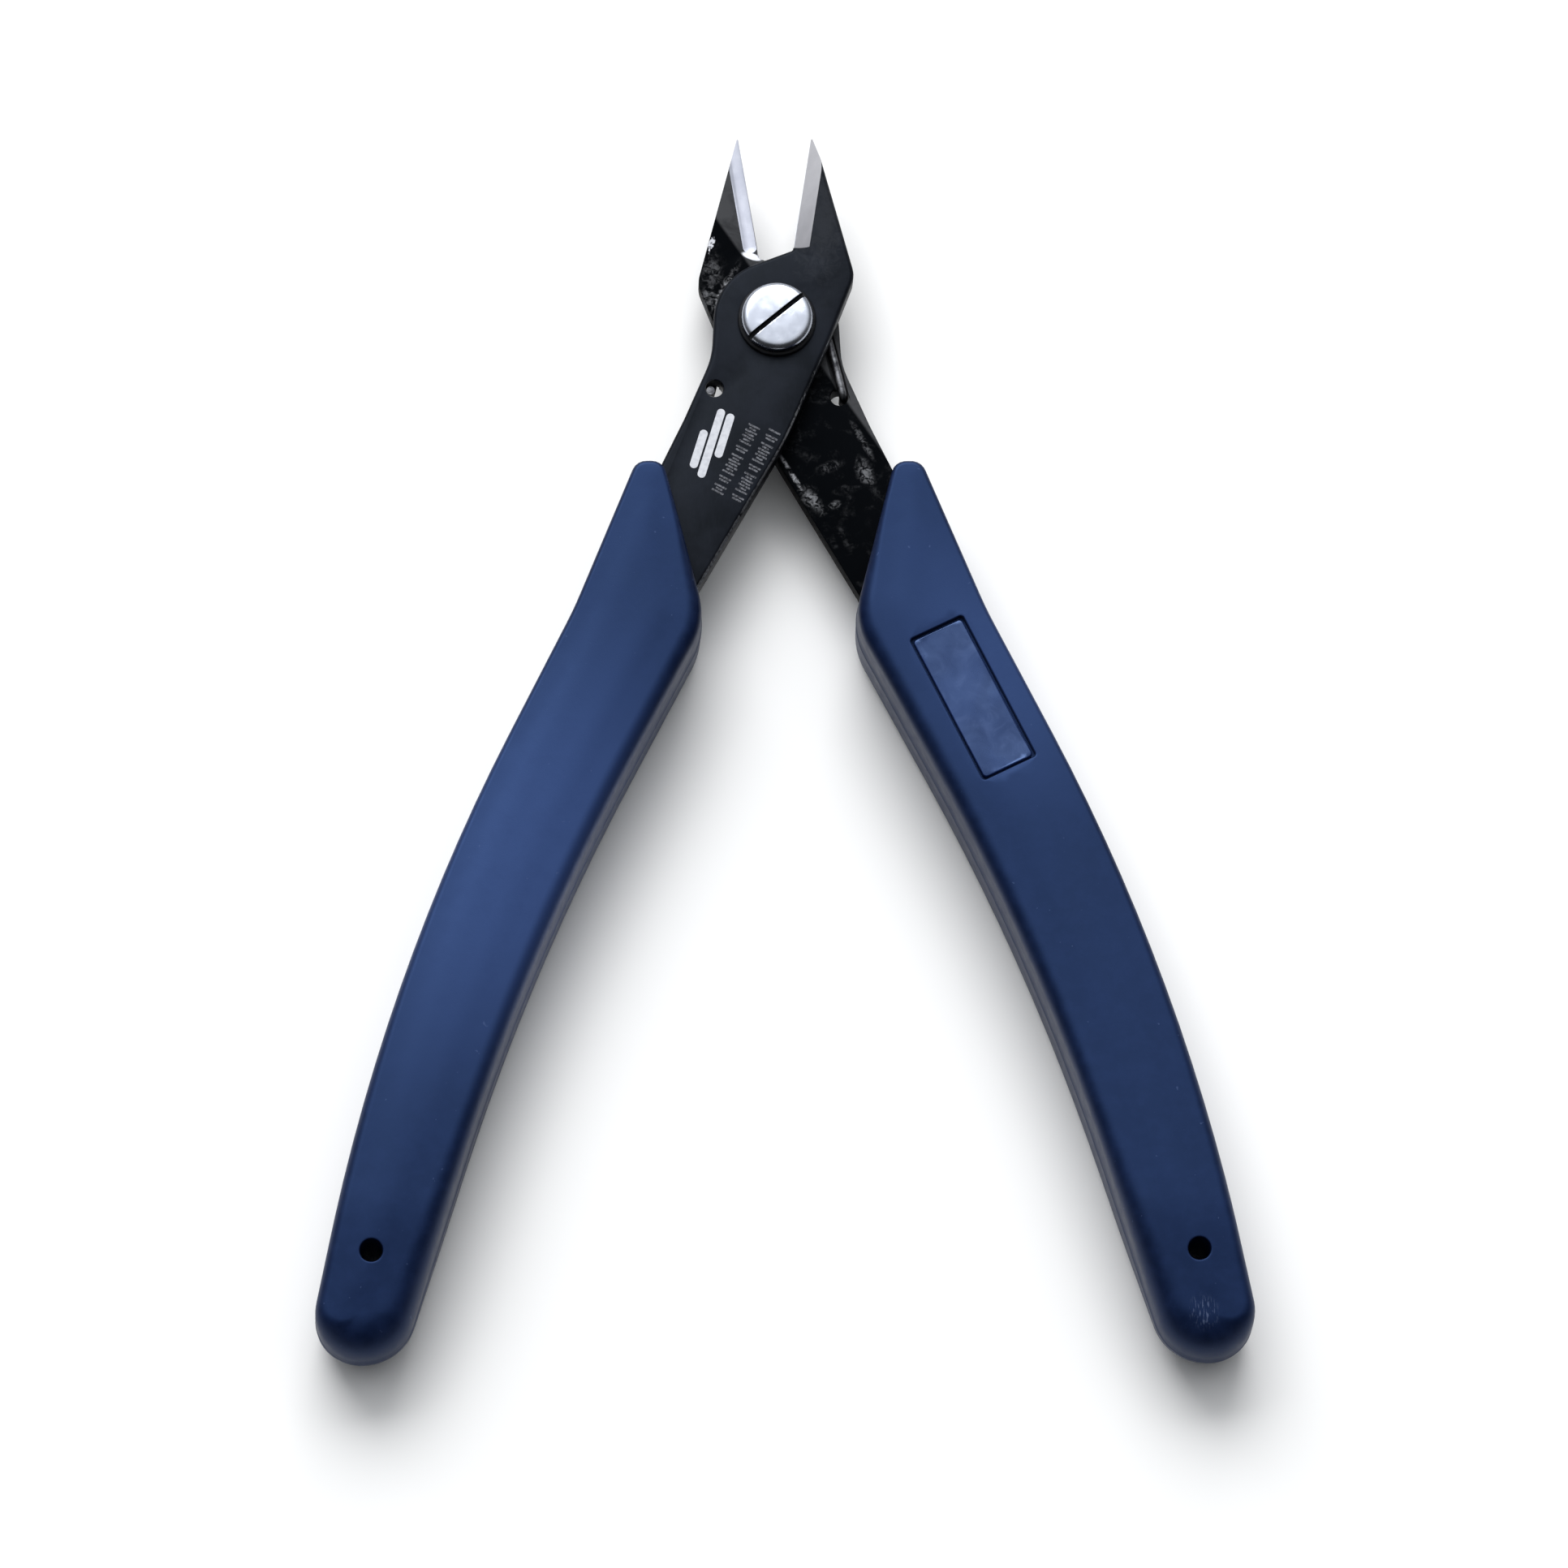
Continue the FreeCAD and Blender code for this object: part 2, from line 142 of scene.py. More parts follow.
def section_loops(node, height):
    """The closed outlines that a level cut makes through a CAD node, longest first."""
    source = frame["nodes"][node].data
    bm = bmesh.new()
    vertices = [bm.verts.new(v.co) for v in source.vertices]
    for polygon in source.polygons:
        bm.faces.new([vertices[i] for i in polygon.vertices])
    bmesh.ops.remove_doubles(bm, verts=bm.verts, dist=0.001 * MM)
    cut = bmesh.ops.bisect_plane(
        bm,
        geom=bm.verts[:] + bm.edges[:] + bm.faces[:],
        plane_co=(0, 0, height),
        plane_no=(0, 0, 1),
        clear_outer=True,
        clear_inner=True,
    )["geom_cut"]
    edges = {item for item in cut if isinstance(item, bmesh.types.BMEdge)}
    loops = []
    while edges:
        edge = min(edges, key=edge_place)
        edges.discard(edge)
        start, here = sorted(edge.verts, key=vertex_place)
        loop = [start.co.xy.copy()]
        while here is not start:
            loop.append(here.co.xy.copy())
            edge = next(e for e in here.link_edges if e in edges)
            edges.discard(edge)
            here = edge.other_vert(here)
        loops.append(np.array(loop))
    bm.free()
    return sorted(loops, key=lambda loop: -length_round(loop))


def length_round(loop):
    return np.linalg.norm(np.roll(loop, -1, 0) - loop, axis=1).sum()


def turned_area(loop):
    following = np.roll(loop, -1, 0)
    return 0.5 * (loop[:, 0] * following[:, 1] - following[:, 0] * loop[:, 1]).sum()


def evenly(loop, spacing):
    """The same closed outline, counter-clockwise, with evenly spaced points."""
    if turned_area(loop) < 0:
        loop = loop[::-1]
    closed = np.vstack([loop, loop[:1]])
    along = np.concatenate([[0], np.cumsum(np.linalg.norm(np.diff(closed, axis=0), axis=1))])
    count = max(16, int(round(along[-1] / spacing)))
    places = np.arange(count) / count * along[-1]
    return np.stack([np.interp(places, along, closed[:, k]) for k in (0, 1)], axis=1)


def softened(values, passes):
    """Average each value with its neighbours round a closed loop."""
    for _ in range(passes):
        values = (np.roll(values, 1, 0) + 2 * values + np.roll(values, -1, 0)) / 4
    return values


def inward_normals(loop):
    tangent = softened(np.roll(loop, -1, 0) - np.roll(loop, 1, 0), 1)
    tangent /= np.linalg.norm(tangent, axis=1)[:, None]
    return np.stack([-tangent[:, 1], tangent[:, 0]], axis=1)


def inside(loop, points):
    """Which of the points lie inside a closed outline."""
    following = np.roll(loop, -1, 0)
    found = np.zeros(len(points), bool)
    for (x0, y0), (x1, y1) in zip(loop, following):
        crosses = (y0 > points[:, 1]) != (y1 > points[:, 1])
        with np.errstate(divide="ignore", invalid="ignore"):
            reach = x0 + (points[:, 1] - y0) / (y1 - y0) * (x1 - x0)
        found ^= crosses & (points[:, 0] < reach)
    return found


def circle(centre, radius, count):
    turn = np.arange(count) / count * 2 * math.pi
    return np.stack([centre[0] + radius * np.cos(turn), centre[1] + radius * np.sin(turn)], axis=1)


def smoothstep(low, high, value):
    share = np.clip((value - low) / (high - low), 0, 1)
    return share * share * (3 - 2 * share)


def rounded_rectangle(width, length, radius, centre, turn, steps=6):
    """A counter-clockwise rectangle with round corners, its length along Y before the turn."""
    points = []
    for corner, (sign_x, sign_y) in enumerate(((1, 1), (-1, 1), (-1, -1), (1, -1))):
        for step in range(steps + 1):
            angle = math.pi / 2 * (corner + step / steps)
            x = sign_x * (width / 2 - radius) + radius * math.cos(angle)
            y = sign_y * (length / 2 - radius) + radius * math.sin(angle)
            points.append((x, y))
    points = np.array(points)
    c, s = math.cos(turn), math.sin(turn)
    return points @ np.array([[c, s], [-s, c]]) + np.array(centre)


def lathe(profile, centre, sides):
    """Turn a closed (radius, height) profile about a vertical axis; radius 0 becomes one point."""
    vertices = []
    rings = []
    for radius, height in profile:
        if radius == 0:
            rings.append([len(vertices)] * sides)
            vertices.append((centre.x, centre.y, height))
            continue
        rings.append([len(vertices) + k for k in range(sides)])
        for k in range(sides):
            turn = 2 * math.pi * k / sides
            vertices.append((centre.x + radius * math.cos(turn), centre.y + radius * math.sin(turn), height))
    faces = []
    for lower, upper in zip(rings, rings[1:]):
        for k in range(sides):
            following = (k + 1) % sides
            corners = [lower[k], lower[following], upper[following], upper[k]]
            faces.append(list(dict.fromkeys(corners)))
    return vertices, [face for face in faces if len(face) > 2]


# ---------------------------------------------------------------- material helpers
class Nodes:
    """Short hand for building one material's node tree."""

    def __init__(self, name):
        self.material = bpy.data.materials.new(name)
        self.material.use_nodes = True
        self.tree = self.material.node_tree
        self.shader = self.tree.nodes["Principled BSDF"]
        self.place = self.tree.nodes.new("ShaderNodeTexCoord").outputs["Object"]

    def add(self, kind, **inputs):
        node = self.tree.nodes.new(kind)
        for key, value in inputs.items():
            self.put(node.inputs[key.replace("_", " ")], value)
        return node

    def put(self, socket, value):
        if isinstance(value, bpy.types.NodeSocket):
            self.tree.links.new(value, socket)
        else:
            socket.default_value = value

    def set(self, **inputs):
        for key, value in inputs.items():
            self.put(self.shader.inputs[key.replace("_", " ")], value)

    def mapped(self, scale, turn=0.0, source=None):
        node = self.add("ShaderNodeMapping", Vector=source or self.place)
        node.inputs["Scale"].default_value = scale
        node.inputs["Rotation"].default_value = (0, 0, turn)
        return node.outputs["Vector"]

    def noise(self, size, detail=3.0, rough=0.5, distortion=0.0, source=None):
        """Noise whose blobs are about size metres across; size may be a 3-vector."""
        sizes = size if hasattr(size, "__len__") else (size,) * 3
        vector = self.mapped([1 / value for value in sizes], source=source)
        node = self.add("ShaderNodeTexNoise", Vector=vector, Scale=1.0, Detail=detail)
        node.inputs["Roughness"].default_value = rough
        node.inputs["Distortion"].default_value = distortion
        return node.outputs["Fac"]

    def ramp(self, value, low, high, out_low=0.0, out_high=1.0):
        node = self.add("ShaderNodeMapRange", Value=value)
        node.interpolation_type = "SMOOTHSTEP"
        for key, number in (("From Min", low), ("From Max", high), ("To Min", out_low), ("To Max", out_high)):
            node.inputs[key].default_value = number
        return node.outputs["Result"]

    def math(self, operation, a, b=0.0):
        node = self.tree.nodes.new("ShaderNodeMath")
        node.operation = operation
        self.put(node.inputs[0], a)
        self.put(node.inputs[1], b)
        return node.outputs[0]

    def mix(self, factor, a, b):
        node = self.tree.nodes.new("ShaderNodeMix")
        node.data_type = "RGBA"
        self.put(node.inputs["Factor"], factor)
        self.put(node.inputs[6], (*a, 1) if isinstance(a, tuple) else a)
        self.put(node.inputs[7], (*b, 1) if isinstance(b, tuple) else b)
        return node.outputs[2]

    def spot(self, centre, half_width, half_length, turn=0.0, ragged=None):
        """1 inside a turned ellipse and 0 outside; its centre in millimetres from the pivot."""
        node = self.add("ShaderNodeMapping", Vector=self.place)
        node.vector_type = "TEXTURE"
        x, y = centre
        node.inputs["Location"].default_value = (PIVOT.x + x * MM, PIVOT.y + y * MM, MID_LEVEL)
        node.inputs["Rotation"].default_value = (0, 0, math.radians(turn))
        node.inputs["Scale"].default_value = (half_width * MM, half_length * MM, 40 * MM)
        reach = self.add("ShaderNodeVectorMath", Vector=node.outputs["Vector"])
        reach.operation = "LENGTH"
        value = reach.outputs["Value"]
        if ragged is not None:
            value = self.math("ADD", value, self.math("MULTIPLY", self.math("SUBTRACT", ragged, 0.5), 1.6))
        return self.ramp(value, 0.15, 1.0, 1.0, 0.0)

    def beyond(self, distance, turn, width):
        """1 past a straight line that lies distance millimetres from the pivot, facing the turn."""
        angle = math.radians(turn)
        facing = Vector((math.cos(angle), math.sin(angle), 0))
        along = self.add("ShaderNodeVectorMath", Vector=self.place)
        along.operation = "DOT_PRODUCT"
        along.inputs[1].default_value = facing
        edge = facing.dot(PIVOT) + distance * MM
        return self.ramp(along.outputs["Value"], edge, edge + width * MM)

    def attribute(self, name):
        node = self.tree.nodes.new("ShaderNodeAttribute")
        node.attribute_name = name
        return node.outputs["Fac"]

    def bump(self, height, distance, strength=1.0, under=None):
        node = self.add("ShaderNodeBump", Height=height, Strength=strength, Distance=distance)
        if under is not None:
            self.put(node.inputs["Normal"], under)
        return node.outputs["Normal"]

    def done(self):
        return self.material


# ---------------------------------------------------------------- materials
def grip_material():
    """Moulded navy vinyl: satin skin, fine pebble, smoother where the hand polishes it, with a painted sheen
    there: the same spots painted paler.
    """
    n = Nodes("navy_vinyl")
    cloud = n.noise(14 * MM, 4, 0.55, 0.6)
    mottle = n.noise(1.3 * MM, 4, 0.6)
    grain = n.noise(0.14 * MM, 2, 0.5)
    left_palm_polish_and_sheen = n.spot((-24.0, -54.5), 12.0, 33.0, -25)
    right_palm_polish_and_sheen = n.math("MULTIPLY", n.spot((19.5, -36.0), 10.0, 19.0, 26), 0.6)
    palm_polish_and_sheen = n.math("MAXIMUM", left_palm_polish_and_sheen, right_palm_polish_and_sheen)
    colour = n.mix(n.ramp(cloud, 0.3, 0.72), (0.0012, 0.0034, 0.0170), (0.0022, 0.0056, 0.0250))
    # the paler colour in the hand-polished spots is a painted sheen; only their lower roughness is real
    # polish
    colour = n.mix(palm_polish_and_sheen, colour, (0.0190, 0.0350, 0.1020))
    colour = n.mix(n.ramp(mottle, 0.35, 0.75, 0.0, 0.25), colour, (0.0085, 0.0175, 0.0620))
    speck = n.ramp(n.noise(0.5 * MM, 1, 0.4), 0.775, 0.82, 0.0, 0.35)
    colour = n.mix(speck, colour, (0.0600, 0.0850, 0.1700))
    nicks = n.ramp(n.noise((0.16 * MM, 0.7 * MM, 0.3 * MM), 2, 0.5), 0.52, 0.66)
    nicked = n.math("MULTIPLY", nicks, n.spot((38.3, -97.3), 1.7, 2.0, 22))
    colour = n.mix(n.math("MULTIPLY", nicked, 0.7), colour, (0.0900, 0.1150, 0.1900))
    rough = n.math("SUBTRACT", n.ramp(mottle, 0.2, 0.8, 0.42, 0.52), n.math("MULTIPLY", palm_polish_and_sheen, 0.10))
    n.set(Base_Color=colour, Roughness=rough)
    n.shader.inputs["Specular IOR Level"].default_value = 0.62
    n.shader.inputs["Specular Tint"].default_value = (0.20, 0.38, 0.92, 1)
    fine = n.bump(grain, 0.010 * MM, 0.5)
    n.set(Normal=n.bump(n.noise(2.6 * MM, 3, 0.5), 0.03 * MM, 0.4, fine))
    return n.done()


def black_steel(n, low, high, rubbed, bare, fresh=None):
    """Black oxide over plate, worn through to grey metal where bare, ground bright where fresh."""
    cloud = n.noise(4.5 * MM, 5, 0.62, 0.4)
    grain = n.noise((0.09 * MM, 1.1 * MM, 0.2 * MM), 3, 0.6)
    black = n.mix(n.ramp(cloud, 0.32, 0.7), low, high)
    black = n.mix(n.ramp(grain, 0.5, 0.8, 0.0, 0.3), black, rubbed)
    colour = n.mix(bare, black, (0.2200, 0.2250, 0.2400))
    metal = n.ramp(bare, 0.0, 1.0, 0.0, 0.9)
    if fresh is not None:
        colour = n.mix(fresh, colour, (0.4700, 0.4800, 0.5200))
        metal = n.math("MAXIMUM", metal, fresh)
    n.set(Base_Color=colour, Metallic=metal)
    n.set(Roughness=n.math("ADD", n.ramp(cloud, 0.3, 0.7, 0.38, 0.48), n.ramp(grain, 0.3, 0.7, -0.04, 0.05)))
    n.shader.inputs["Specular Tint"].default_value = (0.68, 0.80, 1.0, 1)
    fine = n.bump(grain, 0.006 * MM, 0.5)
    n.set(Normal=n.bump(cloud, 0.05 * MM, 0.3, fine))


def worn_through(n, mask, blotch, low=0.45, high=0.75):
    ragged = n.math("ADD", n.math("MULTIPLY", n.math("SUBTRACT", blotch, 0.5), 0.9), mask)
    return n.ramp(ragged, low, high)


def front_steel():
    """The upper stamping: even satin black, its rim a little rubbed."""
    n = Nodes("black_oxide_steel")
    blotch = n.noise(0.8 * MM, 4, 0.6, 1.2)
    scratch = n.noise((0.05 * MM, 2.6 * MM, 1 * MM), 3, 0.6, 0.4)
    bare = worn_through(n, n.attribute("worn"), blotch)
    bare = n.math("MAXIMUM", bare, n.ramp(scratch, 0.72, 0.8, 0.0, 0.10))
    jaw = n.spot((4.6, 10.5), 3.2, 8.0, -8, blotch)
    bare = n.math("MAXIMUM", bare, n.math("MULTIPLY", jaw, 0.05))
    black_steel(n, (0.0008, 0.0010, 0.0018), (0.0060, 0.0070, 0.0105), (0.0120, 0.0130, 0.0170), bare)
    n.shader.inputs["Specular IOR Level"].default_value = 0.10
    return n.done()


def rear_steel():
    """The lower stamping: near-black, darker and less glossy than the upper one, with the marks of sliding
    under its partner.
    """
    n = Nodes("darker_black_steel")
    blotch = n.noise(0.6 * MM, 5, 0.7, 1.0)
    coarse = n.noise(2.2 * MM, 4, 0.6, 1.0)
    bare = worn_through(n, n.attribute("worn"), blotch)
    patchy = n.ramp(blotch, 0.42, 0.62)
    marks = (
        ((-5.2, 3.6), 0.55, 3.4, -28, 0.75),
        ((-6.5, 3.0), 1.0, 2.2, -12, 0.45),
        ((-6.2, 6.0), 1.4, 2.4, -10, 0.25),
        ((1.65, -15.2), 0.30, 3.2, 30, 0.95),
        ((8.2, -11.4), 0.40, 2.6, 28, 0.35),
        ((8.5, -14.6), 0.9, 1.8, 20, 0.40),
        ((3.3, -17.4), 0.9, 2.2, 35, 0.55),
        ((5.4, -17.9), 0.9, 0.5, 20, 0.55),
        ((5.0, -14.0), 1.8, 0.7, 20, 0.30),
    )
    for centre, half_width, half_length, turn, amount in marks:
        shape = n.math("MULTIPLY", n.spot(centre, half_width, half_length, turn, coarse), patchy)
        bare = n.math("MAXIMUM", bare, n.math("MULTIPLY", shape, amount))
    smear = n.math("MULTIPLY", n.ramp(coarse, 0.52, 0.72), n.ramp(blotch, 0.4, 0.7, 0.0, 0.10))
    bare = n.math("MAXIMUM", bare, smear)
    # a lighter band past a slanted line across the jaw
    lighter_band = n.math("MULTIPLY", n.beyond(1.32, 33.6, 0.35), n.ramp(coarse, 0.25, 0.6, 0.13, 0.21))
    bare = n.math("MAXIMUM", bare, lighter_band)
    chipped = n.spot((-6.3, 8.4), 0.55, 1.7, -20, coarse)
    run_out = n.ramp(n.spot((-2.30, 7.40), 0.52, 1.55, 70), 0.2, 0.6, 0.0, 0.7)
    chip = n.ramp(n.math("MULTIPLY", chipped, patchy), 0.2, 0.5, 0.0, 0.7)
    fresh = n.math("MAXIMUM", run_out, chip)
    black_steel(n, (0.0002, 0.0003, 0.0005), (0.0007, 0.0009, 0.0013), (0.0018, 0.0020, 0.0026), bare, fresh)
    n.shader.inputs["Specular IOR Level"].default_value = 0.015
    return n.done()


def ground_material(name, low, high, streak):
    """Bare steel straight off the grinding wheel, its lines across the edge."""
    n = Nodes(name)
    lines = n.noise((1.8 * MM, 0.06 * MM, 1.8 * MM), 3, 0.6)
    tone = n.noise(1.6 * MM, 3, 0.5)
    colour = n.mix(n.ramp(tone, 0.3, 0.7), low, high)
    colour = n.mix(n.ramp(lines, 0.5, 0.8, 0.0, 0.3), colour, streak)
    n.set(Base_Color=colour, Metallic=1.0)
    n.set(Roughness=n.ramp(lines, 0.25, 0.75, 0.34, 0.48))
    n.set(Normal=n.bump(lines, 0.004 * MM, 0.5))
    return n.done()


def slot_shade_material():
    """The floor and walls of the screw's slot: near-black, painted shade in the recess."""
    n = Nodes("painted_slot_shade")
    tone = n.noise(0.35 * MM, 4, 0.6)
    colour = n.mix(n.ramp(tone, 0.35, 0.65), (0.0040, 0.0045, 0.0060), (0.0200, 0.0215, 0.0260))
    n.set(Base_Color=colour, Roughness=n.ramp(tone, 0.3, 0.7, 0.5, 0.7))
    n.shader.inputs["Specular IOR Level"].default_value = 0.1
    n.set(Normal=n.bump(tone, 0.02 * MM, 0.5))
    return n.done()


def screw_material():
    """Bright nickel plate over a turned head: rings, hairlines and soft dirt."""
    n = Nodes("nickel_plate")
    centred = n.add("ShaderNodeVectorMath", Vector=n.place)
    centred.operation = "SUBTRACT"
    centred.inputs[1].default_value = (PIVOT.x, PIVOT.y, 0)
    away = n.add("ShaderNodeVectorMath", Vector=centred.outputs["Vector"])
    away.operation = "LENGTH"
    rings = n.add("ShaderNodeTexNoise", Scale=1.0, Detail=3.0)
    rings.noise_dimensions = "1D"
    n.put(rings.inputs["W"], n.math("DIVIDE", away.outputs["Value"], 0.09 * MM))
    hair = n.noise((0.05 * MM, 2.4 * MM, 1 * MM), 3, 0.6, 0.5)
    tone = n.noise(1.4 * MM, 3, 0.5)
    colour = n.mix(n.ramp(tone, 0.3, 0.7), (0.3750, 0.4000, 0.4600), (0.4300, 0.4550, 0.5150))
    colour = n.mix(n.ramp(hair, 0.62, 0.8, 0.0, 0.3), colour, (0.2800, 0.3000, 0.3500))
    n.set(Base_Color=colour, Metallic=1.0)
    n.set(Roughness=n.ramp(tone, 0.25, 0.75, 0.20, 0.30))
    n.set(Normal=n.bump(rings.outputs["Fac"], 0.004 * MM, 0.35, n.bump(hair, 0.002 * MM, 0.4)))
    return n.done()


def washer_shade_material():
    """Spring steel coloured near-black: painted shade round the foot of the screw head."""
    n = Nodes("shaded_washer_steel")
    tone = n.noise(0.7 * MM, 4, 0.6)
    colour = n.mix(n.ramp(tone, 0.3, 0.7), (0.0020, 0.0023, 0.0032), (0.0090, 0.0100, 0.0130))
    n.set(Base_Color=colour, Roughness=n.ramp(tone, 0.3, 0.7, 0.32, 0.45))
    n.shader.inputs["Specular IOR Level"].default_value = 0.10
    n.set(Normal=n.bump(tone, 0.01 * MM, 0.4))
    return n.done()


def wire_material():
    """Drawn music wire, oil-darkened."""
    n = Nodes("drawn_wire")
    draw = n.noise((0.08 * MM, 1.5 * MM, 0.08 * MM), 3, 0.6)
    tone = n.noise(0.8 * MM, 3, 0.6)
    colour = n.mix(n.ramp(tone, 0.35, 0.65), (0.0400, 0.0410, 0.0460), (0.2000, 0.2050, 0.2200))
    n.set(Base_Color=colour, Metallic=1.0, Roughness=n.ramp(draw, 0.3, 0.7, 0.34, 0.48))
    n.set(Normal=n.bump(draw, 0.006 * MM, 0.5))
    return n.done()


def label_material():
    """A plain glossy blue film, laid slightly unevenly, clouded paler in places."""
    n = Nodes("blue_film")
    wave = n.noise((3.5 * MM, 5 * MM, 5 * MM), 2, 0.4, 0.8)
    rub = n.noise(2.0 * MM, 4, 0.6, 0.8)
    colour = n.mix(n.ramp(wave, 0.3, 0.7), (0.0030, 0.0090, 0.0480), (0.0070, 0.0170, 0.0720))
    colour = n.mix(n.ramp(rub, 0.5, 0.78, 0.0, 0.6), colour, (0.0300, 0.0460, 0.1200))
    n.set(Base_Color=colour, Roughness=n.ramp(rub, 0.3, 0.7, 0.26, 0.36))
    n.shader.inputs["Specular IOR Level"].default_value = 1.0
    n.shader.inputs["Specular Tint"].default_value = (0.32, 0.50, 0.95, 1)
    n.set(Normal=n.bump(wave, 0.10 * MM, 0.7))
    return n.done()


def ink_material():
    """Pad-printed off-white ink, thin in spots."""
    n = Nodes("printed_ink")
    tone = n.noise(0.5 * MM, 4, 0.6)
    colour = n.mix(n.ramp(tone, 0.32, 0.62), (0.4700, 0.4850, 0.5300), (0.5800, 0.5950, 0.6400))
    n.set(Base_Color=colour, Roughness=n.ramp(tone, 0.3, 0.7, 0.5, 0.65))
    n.shader.inputs["Specular IOR Level"].default_value = 0.3
    n.set(Normal=n.bump(tone, 0.01 * MM, 0.4))
    return n.done()


def etch_material():
    """Dull grey laser etching."""
    n = Nodes("etched_grey")
    tone = n.noise(0.22 * MM, 3, 0.6)
    colour = n.mix(n.ramp(tone, 0.35, 0.65), (0.0200, 0.0215, 0.0270), (0.1500, 0.1560, 0.1760))
    n.set(Base_Color=colour, Roughness=n.ramp(tone, 0.3, 0.7, 0.55, 0.75))
    n.shader.inputs["Specular IOR Level"].default_value = 0.15
    n.set(Normal=n.bump(tone, 0.01 * MM, 0.6))
    return n.done()


def floor_material():
    """Matt white bench paper with the faintest unevenness."""
    n = Nodes("white_paper")
    tone = n.noise(60 * MM, 3, 0.5)
    n.set(Base_Color=n.mix(n.ramp(tone, 0.3, 0.7), (0.87, 0.87, 0.87), (0.89, 0.89, 0.89)))
    n.set(Roughness=n.ramp(tone, 0.3, 0.7, 0.8, 0.9))
    n.shader.inputs["Specular IOR Level"].default_value = 0.1
    return n.done()


# ---------------------------------------------------------------- grips
GRIP_SPACING = 0.45 * MM
GRIP_RINGS = 9
CROWN = 0.22 * MM
OUTER_ROUND_TOP = 0.5 * MM
OUTER_ROUND_END = 1.1 * MM
INNER_ROUND = 1.6 * MM
INNER_ROUND_END = 2.5 * MM
END_ROUND = 3.9 * MM
END_REACH = 12 * MM
END_DROP = 0.95 * MM
END_DROP_REACH = 15 * MM
WALL_DRAFT = 0.10 * MM
HOLE_LIP = 0.12 * MM
HOLE_POINTS = 48
GUARD = 0.12 * MM
LIP_STEPS = 4
SECTION_HEIGHT = 2.2 * MM
CROWN_REACH = 3.2 * MM
FACE_PITCH = 0.9 * MM
WALL_LIMIT = 0.8
# share of half the height, and share of the draft, of the rings on each side of the parting line
WALL_BANDS = ((-0.35, 0.6), (-0.03, 0.55), (-0.012, 0.0), (0.012, 0.0), (0.03, 0.55), (0.35, 0.6))


def edge_rounding(loop, normals, toward_middle):
    """How round the grip's edge is at each point: crisp outside, softer inside, full at the end."""
    low = loop[:, 1].min()
    high = loop[:, 1].max()
    along = (high - loop[:, 1]) / (high - low)
    outer = OUTER_ROUND_TOP + (OUTER_ROUND_END - OUTER_ROUND_TOP) * smoothstep(0.2, 0.9, along)
    facing_in = smoothstep(-0.35, 0.55, -normals[:, 0] * toward_middle)
    down_the_grip = smoothstep(3.0 * MM, 16 * MM, high - loop[:, 1])
    from_end = loop[:, 1] - low
    inner = INNER_ROUND + (INNER_ROUND_END - INNER_ROUND) * (1 - smoothstep(3 * MM, 25 * MM, from_end))
    side = outer + (inner - outer) * facing_in * down_the_grip
    full = (1 - smoothstep(1.5 * MM, END_REACH, from_end)) * smoothstep(0.1, 0.85, normals[:, 1])
    return softened(side + (END_ROUND - side) * full, 14)


